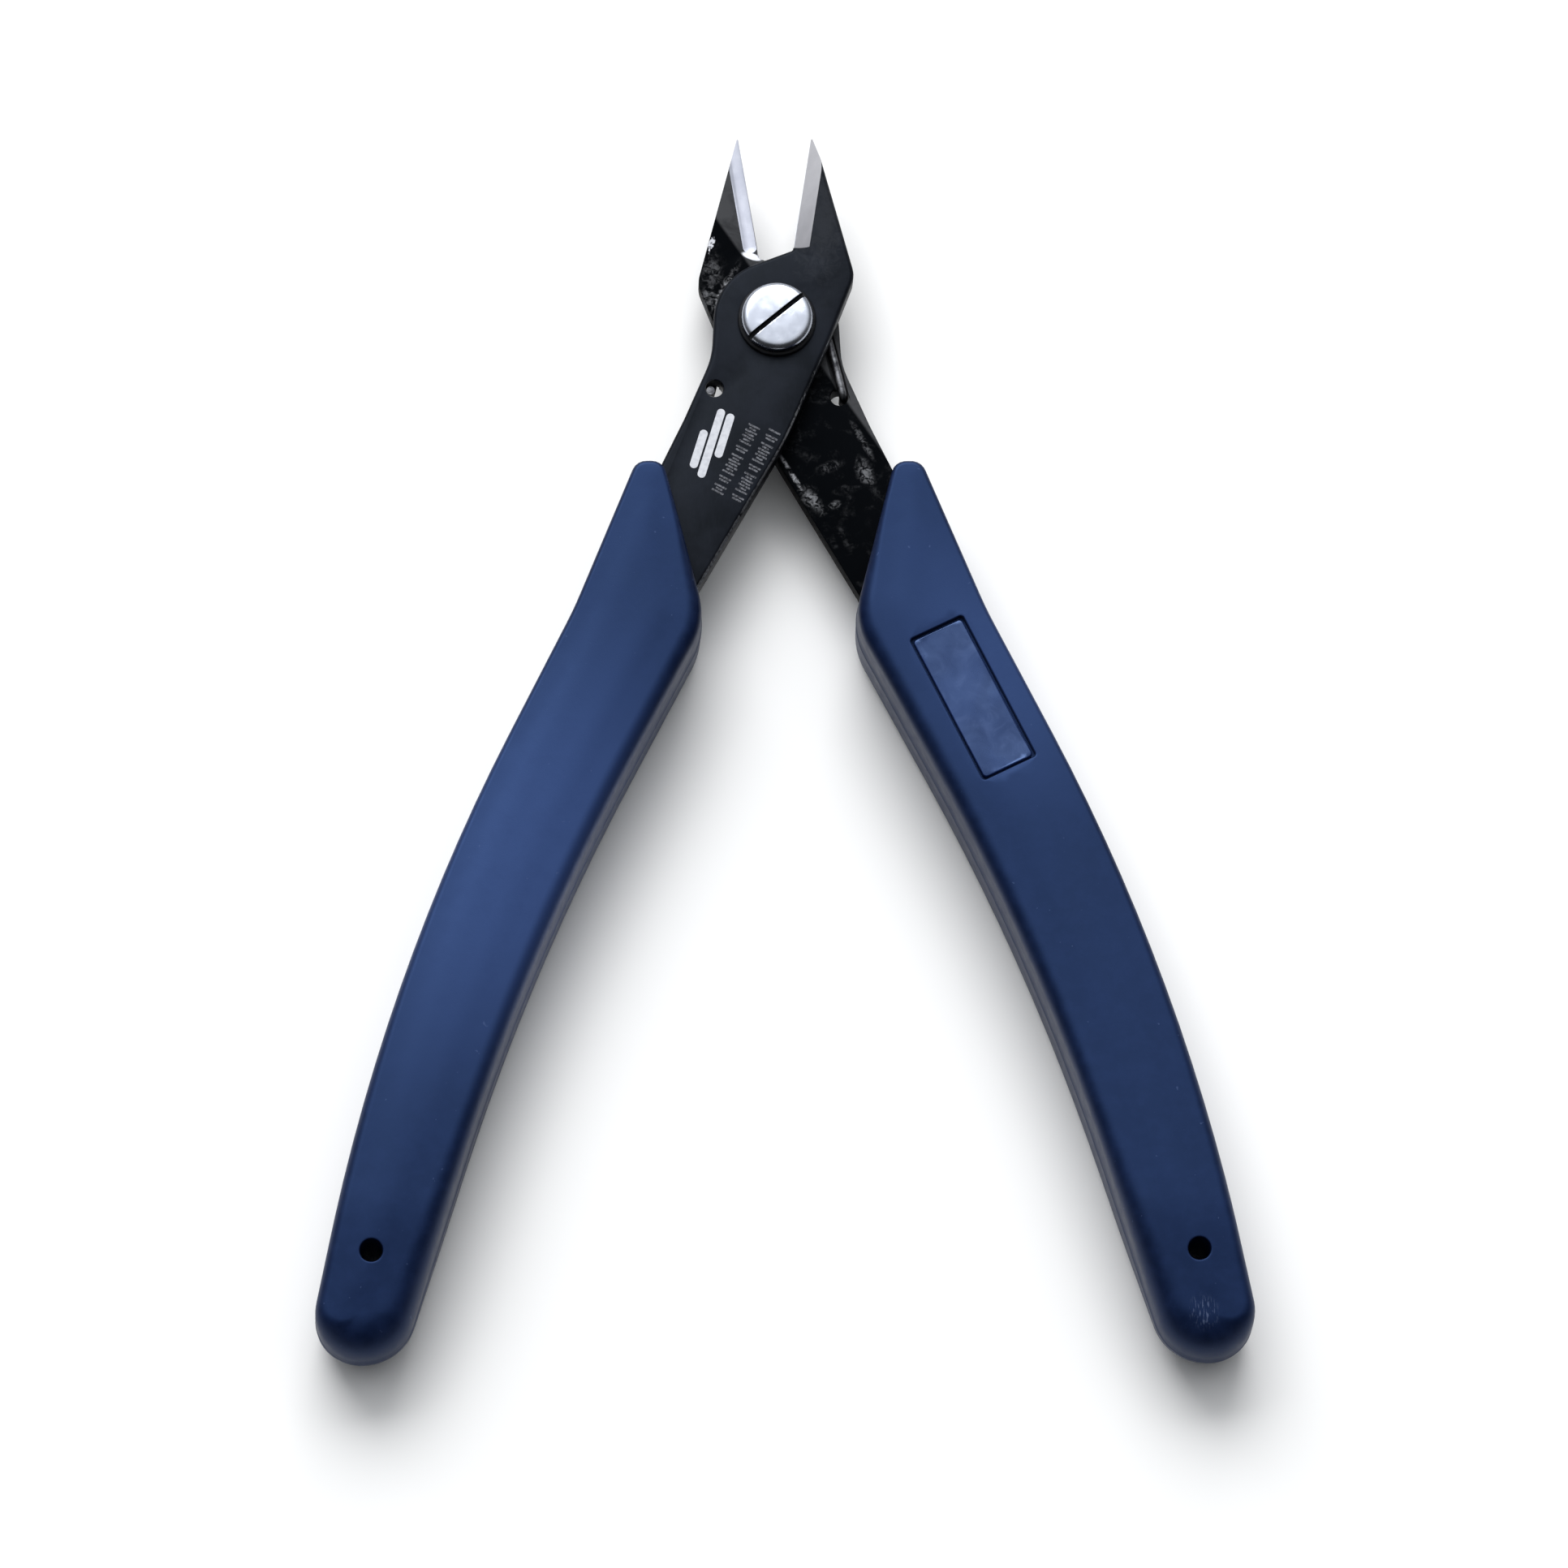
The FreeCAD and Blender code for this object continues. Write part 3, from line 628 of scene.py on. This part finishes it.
class GripShell:
    """The points and faces of one moulded grip, built up ring by ring."""

    def __init__(self, node):
        low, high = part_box(node)
        toward_middle = 1 if (low.x + high.x) < 0 else -1
        loops = section_loops(node, low.z + SECTION_HEIGHT)
        self.loop = evenly(loops[0], GRIP_SPACING)
        self.normals = inward_normals(self.loop)
        self.rounding = edge_rounding(self.loop, self.normals, toward_middle)
        self.lanyard = loops[1].mean(0)
        self.hole_radius = np.linalg.norm(loops[1] - self.lanyard, axis=1).max()
        self.half = (high.z - low.z) / 2
        self.middle = (high.z + low.z) / 2
        self.rim = self.loop + self.normals * (WALL_DRAFT + self.rounding)[:, None]
        self.rim_tree = flat_tree(self.rim)
        self.points = []
        self.faces = []

    def end_drop(self, flat):
        """How far the broad faces draw in toward the butt end."""
        from_end = flat[:, 1] - self.loop[:, 1].min()
        return END_DROP * (1 - smoothstep(2 * MM, END_DROP_REACH, from_end))

    def face_level(self, flat):
        """Height of a broad face over the middle: crowned, and lower toward the butt end."""
        depth = np.array([self.rim_tree.find((x, y, 0))[2] for x, y in flat])
        return self.half - CROWN - self.end_drop(flat) + CROWN * smoothstep(0, CROWN_REACH, depth)

    def ring(self, flat, levels):
        first = len(self.points)
        self.points.extend((x, y, z) for (x, y), z in zip(flat, levels))
        return list(range(first, len(self.points)))

    def bridge(self, rings):
        for lower, upper in zip(rings, rings[1:]):
            self.faces += quads(lower, upper)

    def edge_ring(self, sign, step):
        turn = math.pi / 2 * step / GRIP_RINGS
        inward = WALL_DRAFT + self.rounding * (1 - math.cos(turn))
        flat = self.loop + self.normals * inward[:, None]
        level = self.half - CROWN - self.end_drop(flat) - self.rounding * (1 - math.sin(turn))
        return self.ring(flat, self.middle + sign * level)

    def wall(self):
        """Both rounded edges and the wall between them; returns the lower and the upper rim."""
        rings = [self.edge_ring(-1, step) for step in range(GRIP_RINGS, -1, -1)]
        straight = self.half - CROWN - self.end_drop(self.loop) - self.rounding
        for share, draft in WALL_BANDS:
            level = np.minimum(abs(share) * self.half, WALL_LIMIT * straight)
            flat = self.loop + self.normals * WALL_DRAFT * draft
            rings.append(self.ring(flat, self.middle + math.copysign(1, share) * level))
        rings += [self.edge_ring(1, step) for step in range(GRIP_RINGS + 1)]
        self.bridge(rings)
        return rings[0], rings[-1]

    def close_face(self, sign, rim_ring, openings):
        """Fill one broad face between its rim and its openings; returns each opening's ring."""
        guards = [grown(ring, GUARD) for ring in openings]
        spots = grid_inside(self.rim, guards, FACE_PITCH)
        borders = [self.rim] + openings
        starts, edges = border_edges(borders)
        flat = np.vstack(borders + guards + [spots])
        made = delaunay_2d_cdt([Vector(p) for p in flat], edges, [], 0, 1e-9)
        flat = np.array([tuple(p) for p in made[0]])
        index = self.face_points(flat, made[3], sign, rim_ring)
        centres = np.array([flat[list(face)].mean(0) for face in made[2]])
        keep = inside(self.rim, centres)
        for ring in openings:
            keep &= ~inside(ring, centres)
        for face, wanted in zip(made[2], keep):
            if wanted:
                self.faces.append(tuple(index[i] for i in face))
        place = {old: index[new] for new, olds in enumerate(made[3]) for old in olds}
        return [[place[k] for k in range(*ends)] for ends in zip(starts[1:], starts[2:])]

    def face_points(self, flat, origins, sign, rim_ring):
        """A point for each corner of a broad face, the rim's own where the corner is on it."""
        levels = self.middle + sign * self.face_level(flat)
        index = []
        for (x, y), level, olds in zip(flat, levels, origins):
            on_rim = [old for old in olds if old < len(rim_ring)]
            if on_rim:
                index.append(rim_ring[on_rim[-1]])
            else:
                index.append(len(self.points))
                self.points.append((x, y, level))
        return index

    def hole_lip(self, sign, rim):
        """Roll the lanyard hole's edge over into its bore."""
        rings = [rim]
        level = np.array([abs(self.points[i][2] - self.middle) for i in rim])
        for step in range(1, LIP_STEPS + 1):
            turn = math.pi / 2 * step / LIP_STEPS
            radius = self.hole_radius + HOLE_LIP * (1 - math.sin(turn))
            depth = HOLE_LIP * (1 - math.cos(turn))
            flat = circle(self.lanyard, radius, HOLE_POINTS)
            rings.append(self.ring(flat, self.middle + sign * (level - depth)))
        return rings

    def sink(self, recess, mouth):
        """The label's pocket: a rolled lip, a wall and a flat floor."""
        rings = [mouth]
        level = np.array([self.points[i][2] for i in mouth])
        for step in range(1, LIP_STEPS + 1):
            turn = math.pi / 2 * step / LIP_STEPS
            flat = recess["mouth"] + (recess["wall"] - recess["mouth"]) * math.sin(turn)
            rings.append(self.ring(flat, level - recess["lip"] * (1 - math.cos(turn))))
        rings.append(self.ring(recess["wall"], [recess["floor"]] * len(recess["wall"])))
        self.bridge(rings)
        self.faces.append(tuple(rings[-1]))


def grip(node, body, material, recess=None):
    """One grip with its lanyard hole, and the label's pocket where there is one."""
    shell = GripShell(node)
    bottom_rim, top_rim = shell.wall()
    mouth = circle(shell.lanyard, shell.hole_radius + HOLE_LIP, HOLE_POINTS)
    openings = [mouth]
    if recess is not None:
        openings.append(recess["mouth"])
    top = shell.close_face(1, top_rim, openings)
    bottom = shell.close_face(-1, bottom_rim, [mouth])
    top_lip = shell.hole_lip(1, top[0])
    bottom_lip = shell.hole_lip(-1, bottom[0])
    shell.bridge(top_lip)
    shell.bridge(bottom_lip)
    shell.bridge([top_lip[-1], bottom_lip[-1]])
    if recess is not None:
        shell.sink(recess, top[1])
    mesh = mesh_from(node + "_moulding", shell.points, shell.faces)
    piece = new_object(node + "_moulding", mesh, material)
    smooth_by_angle(piece, 40)
    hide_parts(node)
    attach(piece, body)
    return piece


def quads(lower, upper):
    """Quads that join one closed ring of point numbers to the next."""
    total = len(lower)
    return [(lower[i], lower[(i + 1) % total], upper[(i + 1) % total], upper[i]) for i in range(total)]


def border_edges(borders):
    """Where each closed border starts in the list of points, and the edges that close it."""
    starts = [0]
    edges = []
    for ring in borders:
        first, total = starts[-1], len(ring)
        edges += [(first + i, first + (i + 1) % total) for i in range(total)]
        starts.append(first + total)
    return starts, edges


def flat_tree(flat):
    """A search tree over flat points."""
    tree = KDTree(len(flat))
    for i, (x, y) in enumerate(flat):
        tree.insert((x, y, 0), i)
    tree.balance()
    return tree


def grown(ring, distance):
    """A counter-clockwise ring moved outward all round."""
    return ring - inward_normals(ring) * distance


def grid_inside(loop, openings, pitch):
    """Evenly spread points inside an outline, clear of it and of its openings."""
    low, high = loop.min(0), loop.max(0)
    xs = np.arange(low[0], high[0], pitch)
    ys = np.arange(low[1], high[1], pitch * math.sqrt(3) / 2)
    spots = np.array([(x + (row % 2) * pitch / 2, y) for row, y in enumerate(ys) for x in xs])
    keep = inside(loop, spots)
    for ring in openings:
        keep &= ~inside(ring, spots)
    tree = flat_tree(np.vstack([loop] + openings))
    clear = np.array([tree.find((x, y, 0))[2] > pitch * 0.55 for x, y in spots])
    return spots[keep & clear]


# ---------------------------------------------------------------- label film
LABEL_CORNER = 0.35 * MM
LABEL_LIP = 0.12 * MM
POCKET_GAP = 0.1 * MM
LABEL_SHRINK = 0.14 * MM
LABEL_EDGE = 0.12 * MM
LABEL_FOOT = 0.06 * MM


def label_place():
    """Centre, width, length and turn of the CAD label plate, and its two levels."""
    corners = np.array([tuple(v.co) for v in frame["nodes"]["label_plate"].data.vertices])
    centre = (corners[:, :2].min(0) + corners[:, :2].max(0)) / 2
    top = corners[corners[:, 1].argmax(), :2]
    right = corners[corners[:, 0].argmax(), :2]
    left = 2 * centre - right
    long_side, short_side = top - right, top - left
    if np.linalg.norm(long_side) < np.linalg.norm(short_side):
        long_side, short_side = short_side, long_side
    turn = math.atan2(long_side[1], long_side[0]) - math.pi / 2
    return {
        "centre": centre,
        "width": np.linalg.norm(short_side),
        "length": np.linalg.norm(long_side),
        "turn": turn,
        "low": corners[:, 2].min(),
        "high": corners[:, 2].max(),
    }


def label_recess(place):
    width = place["width"] + 2 * POCKET_GAP
    length = place["length"] + 2 * POCKET_GAP
    wall = rounded_rectangle(width, length, LABEL_CORNER, place["centre"], place["turn"])
    mouth_size = (width + 2 * LABEL_LIP, length + 2 * LABEL_LIP, LABEL_CORNER + LABEL_LIP)
    mouth = rounded_rectangle(*mouth_size, place["centre"], place["turn"])
    return {"wall": wall, "mouth": mouth, "lip": LABEL_LIP, "floor": place["low"]}


def label_film(place, material):
    """A thin slab with soft edges, its top a little wavy."""
    high, low = place["high"], place["low"]
    profile = (
        (LABEL_FOOT, low),
        (0, low + LABEL_FOOT),
        (0, high - LABEL_EDGE),
        (0.3 * LABEL_EDGE, high - 0.3 * LABEL_EDGE),
        (LABEL_EDGE, high),
    )
    rings = []
    for inset, level in profile:
        width = place["width"] - 2 * (LABEL_SHRINK + inset)
        length = place["length"] - 2 * (LABEL_SHRINK + inset)
        flat = rounded_rectangle(width, length, LABEL_CORNER, place["centre"], place["turn"])
        rings.append((flat, level))
    points = []
    faces = []
    index = []
    for flat, level in rings:
        index.append([len(points) + i for i in range(len(flat))])
        points.extend((x, y, level) for x, y in flat)
    total = len(index[0])
    for lower, upper in zip(index, index[1:]):
        faces += quads(lower, upper)
    faces.append(tuple(reversed(index[0])))
    rim = rings[-1][0]
    spots = grid_inside(rim, [], 0.5 * MM)
    flat = np.vstack([rim, spots])
    edges = [(i, (i + 1) % total) for i in range(total)]
    made = delaunay_2d_cdt([Vector(p) for p in flat], edges, [], 1, 1e-9)
    place_of = {}
    for new, olds in enumerate(made[3]):
        x, y = made[0][new]
        border = [old for old in olds if old < total]
        if border:
            place_of[new] = index[-1][border[0]]
        else:
            place_of[new] = len(points)
            sag = 0.05 * MM * (noise.noise(Vector((x, y, 0)) / (3.5 * MM)) - 0.6)
            points.append((x, y, high + sag))
    faces += [tuple(place_of[i] for i in face) for face in made[2]]
    piece = new_object("label_film", mesh_from("label_film", points, faces), material)
    smooth_by_angle(piece, 50)
    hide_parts("label_plate")
    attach(piece, "rear_half")
    return piece


# ---------------------------------------------------------------- levers
DIE_ROLL = 0.42 * MM
BURR_BREAK = 0.06 * MM
HOLE_BREAK = 0.12 * MM


def lever(node, body, steel, facet, hollow):
    """A stamping with its die-rolled outer rim, its broken edges and its ground faces."""
    low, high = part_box(node)
    faces_up = high.z > MID_LEVEL + MM
    outer = high.z if faces_up else low.z
    mating = low.z if faces_up else high.z
    piece = cad_copy(node + "_stamping", node)
    mesh = piece.data
    for material in (steel, facet, hollow):
        mesh.materials.append(material)

    bm = bmesh.new()
    bm.from_mesh(mesh)
    weight = bm.edges.layers.float.new("bevel_weight_edge")
    for face in bm.faces:
        face.material_index = ground_kind(face, mating)
    for edge in bm.edges:
        edge[weight] = edge_break(edge, outer, mating) / DIE_ROLL
    bm.to_mesh(mesh)
    bm.free()

    bevel = piece.modifiers.new("edges", "BEVEL")
    bevel.limit_method = "WEIGHT"
    bevel.width = DIE_ROLL
    bevel.segments = 5
    bevel.use_clamp_overlap = False
    bevel.loop_slide = True
    bevel.miter_outer = "MITER_SHARP"
    apply_modifiers(piece)
    smooth_by_angle(piece, 28)
    mark_wear(piece, faces_up)
    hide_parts(node)
    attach(piece, body)
    return piece


def ground_kind(face, mating):
    """0 for oxide, 1 for the sloping facet, 2 for the shallow hollow beside the cutting edge."""
    middle = face.calc_center_median()
    if middle.y < PIVOT.y + 5.5 * MM:
        return 0
    if 0.3 < abs(face.normal.z) < 0.95 and face.calc_area() > 2 * MM * MM:
        return 1
    beside_mating = 0.002 * MM < abs(middle.z - mating) < 0.2 * MM
    return 2 if beside_mating and abs(face.normal.z) > 0.2 else 0


def edge_break(edge, outer, mating):
    """How far the edge is rolled or broken: the punched rim most, the ground edges not at all."""
    if len(edge.link_faces) != 2:
        return 0.0
    normals = [face.normal for face in edge.link_faces]
    if any(face.material_index for face in edge.link_faces):
        return 0.0
    flat = [abs(normal.z) > 0.99 for normal in normals]
    wall = [abs(normal.z) < 0.05 for normal in normals]
    if not (any(flat) and any(wall)):
        return 0.0
    middle = (edge.verts[0].co + edge.verts[1].co) / 2
    from_pivot = (middle.xy - PIVOT.xy).length
    if from_pivot < 2.6 * MM or in_spring_hole(middle):
        return HOLE_BREAK
    if abs(middle.z - outer) < 0.02 * MM:
        return DIE_ROLL
    if abs(middle.z - mating) < 0.02 * MM:
        return BURR_BREAK
    return 0.0


def in_spring_hole(point):
    offset = Vector((abs(point.x - PIVOT.x), point.y - PIVOT.y)) - Vector((6.0 * MM, -6.95 * MM))
    return offset.length < 1.0 * MM


def mark_wear(piece, faces_up):
    """Per-point wear: the rolled rim rubbed, most along the edge that the hand slides on."""
    mesh = piece.data
    worn = mesh.attributes.new("worn", "FLOAT", "POINT")
    for vertex, value in zip(mesh.vertices, worn.data):
        rolled = 0.30 < abs(vertex.normal.z) < 0.93
        inner = (vertex.co.x > PIVOT.x - 8 * MM) == faces_up and vertex.normal.x > 0
        handled = inner and vertex.co.y < PIVOT.y - 2 * MM
        value.value = (0.62 if handled else 0.30) if rolled else 0.04


# ---------------------------------------------------------------- screw, washer, spring
SLOT_WIDTH = 0.5 * MM
RIM = 0.78 * MM
RIM_FALL = 0.62 * MM
SLOT_DEPTH = 0.75 * MM
SLOT_TURN = math.radians(40)


def screw(material, slot):
    low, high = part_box("pivot_screw")
    radius = (high.x - low.x) / 2
    washer_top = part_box("pivot_washer")[1].z
    shank = 2.0 * MM
    dome = 0.05 * MM
    face = radius - RIM
    profile = [(0, high.z)]
    for step in range(1, 7):
        share = step / 6
        profile.append((face * share, high.z - dome * share**2))
    rim = high.z - dome
    for step in range(1, 7):
        turn = math.pi / 2 * step / 6
        profile.append(
            (face + (radius - face) * math.sin(turn), rim - RIM_FALL * (1 - math.cos(turn)))
        )
    profile += [
        (radius, washer_top + 0.12 * MM),
        (radius - 0.08 * MM, washer_top + 0.02 * MM),
        (radius - 0.3 * MM, washer_top),
        (shank + 0.19 * MM, washer_top),
        (shank + 0.19 * MM, MID_LEVEL),
        (shank - 0.01 * MM, MID_LEVEL),
        (shank - 0.01 * MM, low.z + 0.25 * MM),
        (shank - 0.08 * MM, low.z + 0.08 * MM),
        (shank - 0.25 * MM, low.z),
        (0.7 * MM, low.z + 0.02 * MM),
        (0.45 * MM, low.z + 0.22 * MM),
        (0, low.z + 0.34 * MM),
    ]
    points, faces = lathe(profile, PIVOT, 96)
    piece = new_object("pivot_screw_turned", mesh_from("pivot_screw_turned", points, faces), material)

    bm = bmesh.new()
    bmesh.ops.create_cube(bm, size=1)
    bm.transform(
        Matrix.Translation((PIVOT.x, PIVOT.y, high.z))
        @ Matrix.Rotation(SLOT_TURN, 4, "Z")
        @ Matrix.Diagonal((4 * radius, SLOT_WIDTH, 2 * SLOT_DEPTH, 1))
    )
    cutter = bpy.data.meshes.new("slot_cutter")
    bm.to_mesh(cutter)
    bm.free()
    # the cut faces take the cutter's near-black painted shade
    cut_away(piece, new_object("slot_cutter", cutter, slot))
    bevel = piece.modifiers.new("edges", "BEVEL")
    bevel.limit_method = "ANGLE"
    bevel.angle_limit = math.radians(50)
    bevel.width = 0.05 * MM
    bevel.segments = 3
    apply_modifiers(piece)
    smooth_by_angle(piece, 40)
    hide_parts("pivot_screw")
    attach(piece, "rear_half")
    return piece


def washer(material):
    low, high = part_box("pivot_washer")
    outer = (high.x - low.x) / 2
    inner = 2.26 * MM
    edge = 0.08 * MM
    profile = [
        (inner, low.z + edge),
        (inner + edge, low.z),
        (outer - edge, low.z),
        (outer, low.z + edge),
        (outer, high.z - 1.5 * edge),
        (outer - 0.5 * edge, high.z - 0.5 * edge),
        (outer - 1.5 * edge, high.z),
        (inner + edge, high.z),
        (inner, high.z - edge),
        (inner, low.z + edge),
    ]
    points, faces = lathe(profile, PIVOT, 96)
    piece = new_object("pivot_washer_ring", mesh_from("pivot_washer_ring", points, faces), material)
    smooth_by_angle(piece, 40)
    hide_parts("pivot_washer")
    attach(piece, "rear_half")
    return piece


def spring(material):
    piece = cad_copy("return_spring_wire", "return_spring")
    piece.data.materials.append(material)
    smooth_by_angle(piece, 50)
    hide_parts("return_spring")
    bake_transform(piece)
    return piece


# ---------------------------------------------------------------- surface marks
MARK_DEPTH = 0.010 * MM
MARK_HEIGHT = 0.014 * MM
BAR_TURN = math.radians(-17)
BAR_CENTRE = (-6.35, -12.5)
BAR_WIDTH = 0.78 * MM
BARS = ((-0.98, -0.9, 4.0), (0.0, 0.0, 7.2), (0.98, 1.1, 4.6))
TICK_TURN = math.radians(-28.3)
TICK_ROWS = ((-3.95, -13.95), (-2.15, -14.75))
TICK_PITCH = 0.31 * MM
TICK_COUNT = 26
TICK_HEIGHTS = (1.25, 0.7, 1.25, 0.0, 0.95, 1.25, 0.0, 1.25, 0.7, 1.25, 0.95)


def flat_marks(name, outlines, material):
    """Thin slabs of the given outlines on the upper stamping's top face."""
    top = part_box("front_lever")[1].z
    points = []
    faces = []
    for outline in outlines:
        first = len(points)
        total = len(outline)
        points += [(x, y, top - MARK_DEPTH) for x, y in outline]
        points += [(x, y, top + MARK_HEIGHT) for x, y in outline]
        lower = list(range(first, first + total))
        upper = list(range(first + total, first + 2 * total))
        faces += [tuple(reversed(lower)), tuple(upper)]
        faces += [
            (lower[i], lower[(i + 1) % total], upper[(i + 1) % total], upper[i]) for i in range(total)
        ]
    piece = new_object(name, mesh_from(name, points, faces), material)
    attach(piece, "front_half")
    return piece


def from_pivot(x, y):
    return (PIVOT.x + x * MM, PIVOT.y + y * MM)


def beside(centre, across, along, turn):
    """A centre moved across and along a turned row, in millimetres."""
    c, s = math.cos(turn), math.sin(turn)
    return from_pivot(centre[0] + across * c - along * s, centre[1] + across * s + along * c)


def printed_bars(material):
    """A plain group of three slanted bars with round ends."""
    outlines = [
        rounded_rectangle(
            BAR_WIDTH, length * MM, 0.48 * BAR_WIDTH, beside(BAR_CENTRE, across, along, BAR_TURN), BAR_TURN
        )
        for across, along, length in BARS
    ]
    return flat_marks("printed_bars", outlines, material)


def etched_ticks(material):
    """Two rows of plain etched ticks of uneven height."""
    outlines = []
    for row, centre in enumerate(TICK_ROWS):
        for i in range(TICK_COUNT):
            height = TICK_HEIGHTS[(i + 4 * row) % len(TICK_HEIGHTS)]
            if height == 0:
                continue
            along = (i - (TICK_COUNT - 1) / 2) * TICK_PITCH / MM
            middle = beside(centre, 0, along, TICK_TURN)
            outlines.append(rounded_rectangle(height * MM, 0.19 * MM, 0.05 * MM, middle, TICK_TURN, 2))
    return flat_marks("etched_ticks", outlines, material)


# ---------------------------------------------------------------- floor, light, camera
CAMERA_DISTANCE_DOWN = 629.33 * MM
CAMERA_TILT = math.radians(16.3)
CAMERA_SIDE = math.radians(1.797)
CAMERA_ROLL = math.radians(0.506)
CAMERA_OFFSET = Vector((-19.22 * MM, -228.02 * MM, 0))
FOCAL_LENGTH = 158.4
CEILING_LEAN = (-0.05, 0.50, 0.86)
SKY_BRIGHT = 1.3
SKY_FRONT = 0.05
SKY_BACK = 0.32
CEILING_EDGE = 0.50
CEILING_FULL = 0.90
FLOOR_SIZE = 8
KEY_PLACE = (-0.25, 1.30, 1.30)
KEY_SIZE = (1.6, 1.2)
KEY_POWER = 37


def sky():
    """A bright soft ceiling that leans to the back, falling to near dark in front and at the sides."""
    world = bpy.data.worlds.new("studio")
    world.use_nodes = True
    tree = world.node_tree
    toward = tree.nodes.new("ShaderNodeTexCoord").outputs["Generated"]
    lean = tree.nodes.new("ShaderNodeVectorMath")
    lean.operation = "DOT_PRODUCT"
    lean.inputs[1].default_value = CEILING_LEAN
    tree.links.new(toward, lean.inputs[0])
    fade = tree.nodes.new("ShaderNodeMapRange")
    fade.interpolation_type = "SMOOTHSTEP"
    for name, number in (("From Min", CEILING_EDGE), ("From Max", CEILING_FULL), ("To Max", SKY_BRIGHT)):
        fade.inputs[name].default_value = number
    tree.links.new(lean.outputs["Value"], fade.inputs["Value"])
    split = tree.nodes.new("ShaderNodeSeparateXYZ")
    tree.links.new(toward, split.inputs["Vector"])
    around = tree.nodes.new("ShaderNodeMapRange")
    for name, number in (("From Min", -0.5), ("From Max", 0.7), ("To Min", SKY_FRONT), ("To Max", SKY_BACK)):
        around.inputs[name].default_value = number
    tree.links.new(split.outputs["Y"], around.inputs["Value"])
    tree.links.new(around.outputs["Result"], fade.inputs["To Min"])
    background = tree.nodes["Background"]
    background.inputs["Color"].default_value = (0.96, 0.98, 1.0, 1)
    tree.links.new(fade.outputs["Result"], background.inputs["Strength"])
    bpy.context.scene.world = world


def soft_box(name, place, size, power):
    light = bpy.data.lights.new(name, "AREA")
    light.shape = "RECTANGLE"
    light.size, light.size_y = size
    light.energy = power
    lamp = bpy.data.objects.new(name, light)
    lamp.location = place
    lamp.rotation_mode = "QUATERNION"
    lamp.rotation_quaternion = (-Vector(place)).to_track_quat("-Z", "Y")
    bpy.context.scene.collection.objects.link(lamp)


def stage():
    bpy.ops.mesh.primitive_plane_add(size=FLOOR_SIZE, location=(0, 0, 0))
    floor = bpy.context.object
    floor.name = "floor"
    floor.data.materials.append(floor_material())
    sky()
    soft_box("key", KEY_PLACE, KEY_SIZE, KEY_POWER)


def camera():
    data = bpy.data.cameras.new("camera")
    data.sensor_width = 36
    data.lens = FOCAL_LENGTH
    data.clip_start, data.clip_end = 0.01, 20
    eye = bpy.data.objects.new("camera", data)
    bpy.context.scene.collection.objects.link(eye)
    looking = -Vector((-math.tan(CAMERA_SIDE), -math.tan(CAMERA_TILT), 1)).normalized()
    up = Vector((math.sin(CAMERA_ROLL), math.cos(CAMERA_ROLL), 0))
    right = looking.cross(up).normalized()
    up = right.cross(looking).normalized()
    turn = Matrix((right, up, -looking)).transposed()
    place = Vector((PIVOT.x, PIVOT.y, 0)) + CAMERA_OFFSET + Vector((0, 0, CAMERA_DISTANCE_DOWN))
    eye.matrix_world = Matrix.Translation(place) @ turn.to_4x4()
    bpy.context.scene.camera = eye


# ---------------------------------------------------------------- build
bpy.context.scene.view_settings.view_transform = "Standard"
vinyl = grip_material()
# one ground steel in two tones, set by how each face meets the light: the sloping facet painted lighter as
# painted light, the flat hollow painted darker as painted shade
facet = ground_material("lit_ground_facet", (0.46, 0.46, 0.49), (0.51, 0.51, 0.54), (0.60, 0.60, 0.62))
hollow = ground_material("shaded_ground_hollow", (0.22, 0.23, 0.27), (0.26, 0.27, 0.31), (0.33, 0.34, 0.38))
place = label_place()
grip("left_grip", "front_half", vinyl)
grip("right_grip", "rear_half", vinyl, label_recess(place))
label_film(place, label_material())
lever("front_lever", "front_half", front_steel(), facet, hollow)
lever("rear_lever", "rear_half", rear_steel(), facet, hollow)
screw(screw_material(), slot_shade_material())
washer(washer_shade_material())
spring(wire_material())
printed_bars(ink_material())
etched_ticks(etch_material())
stage()
camera()
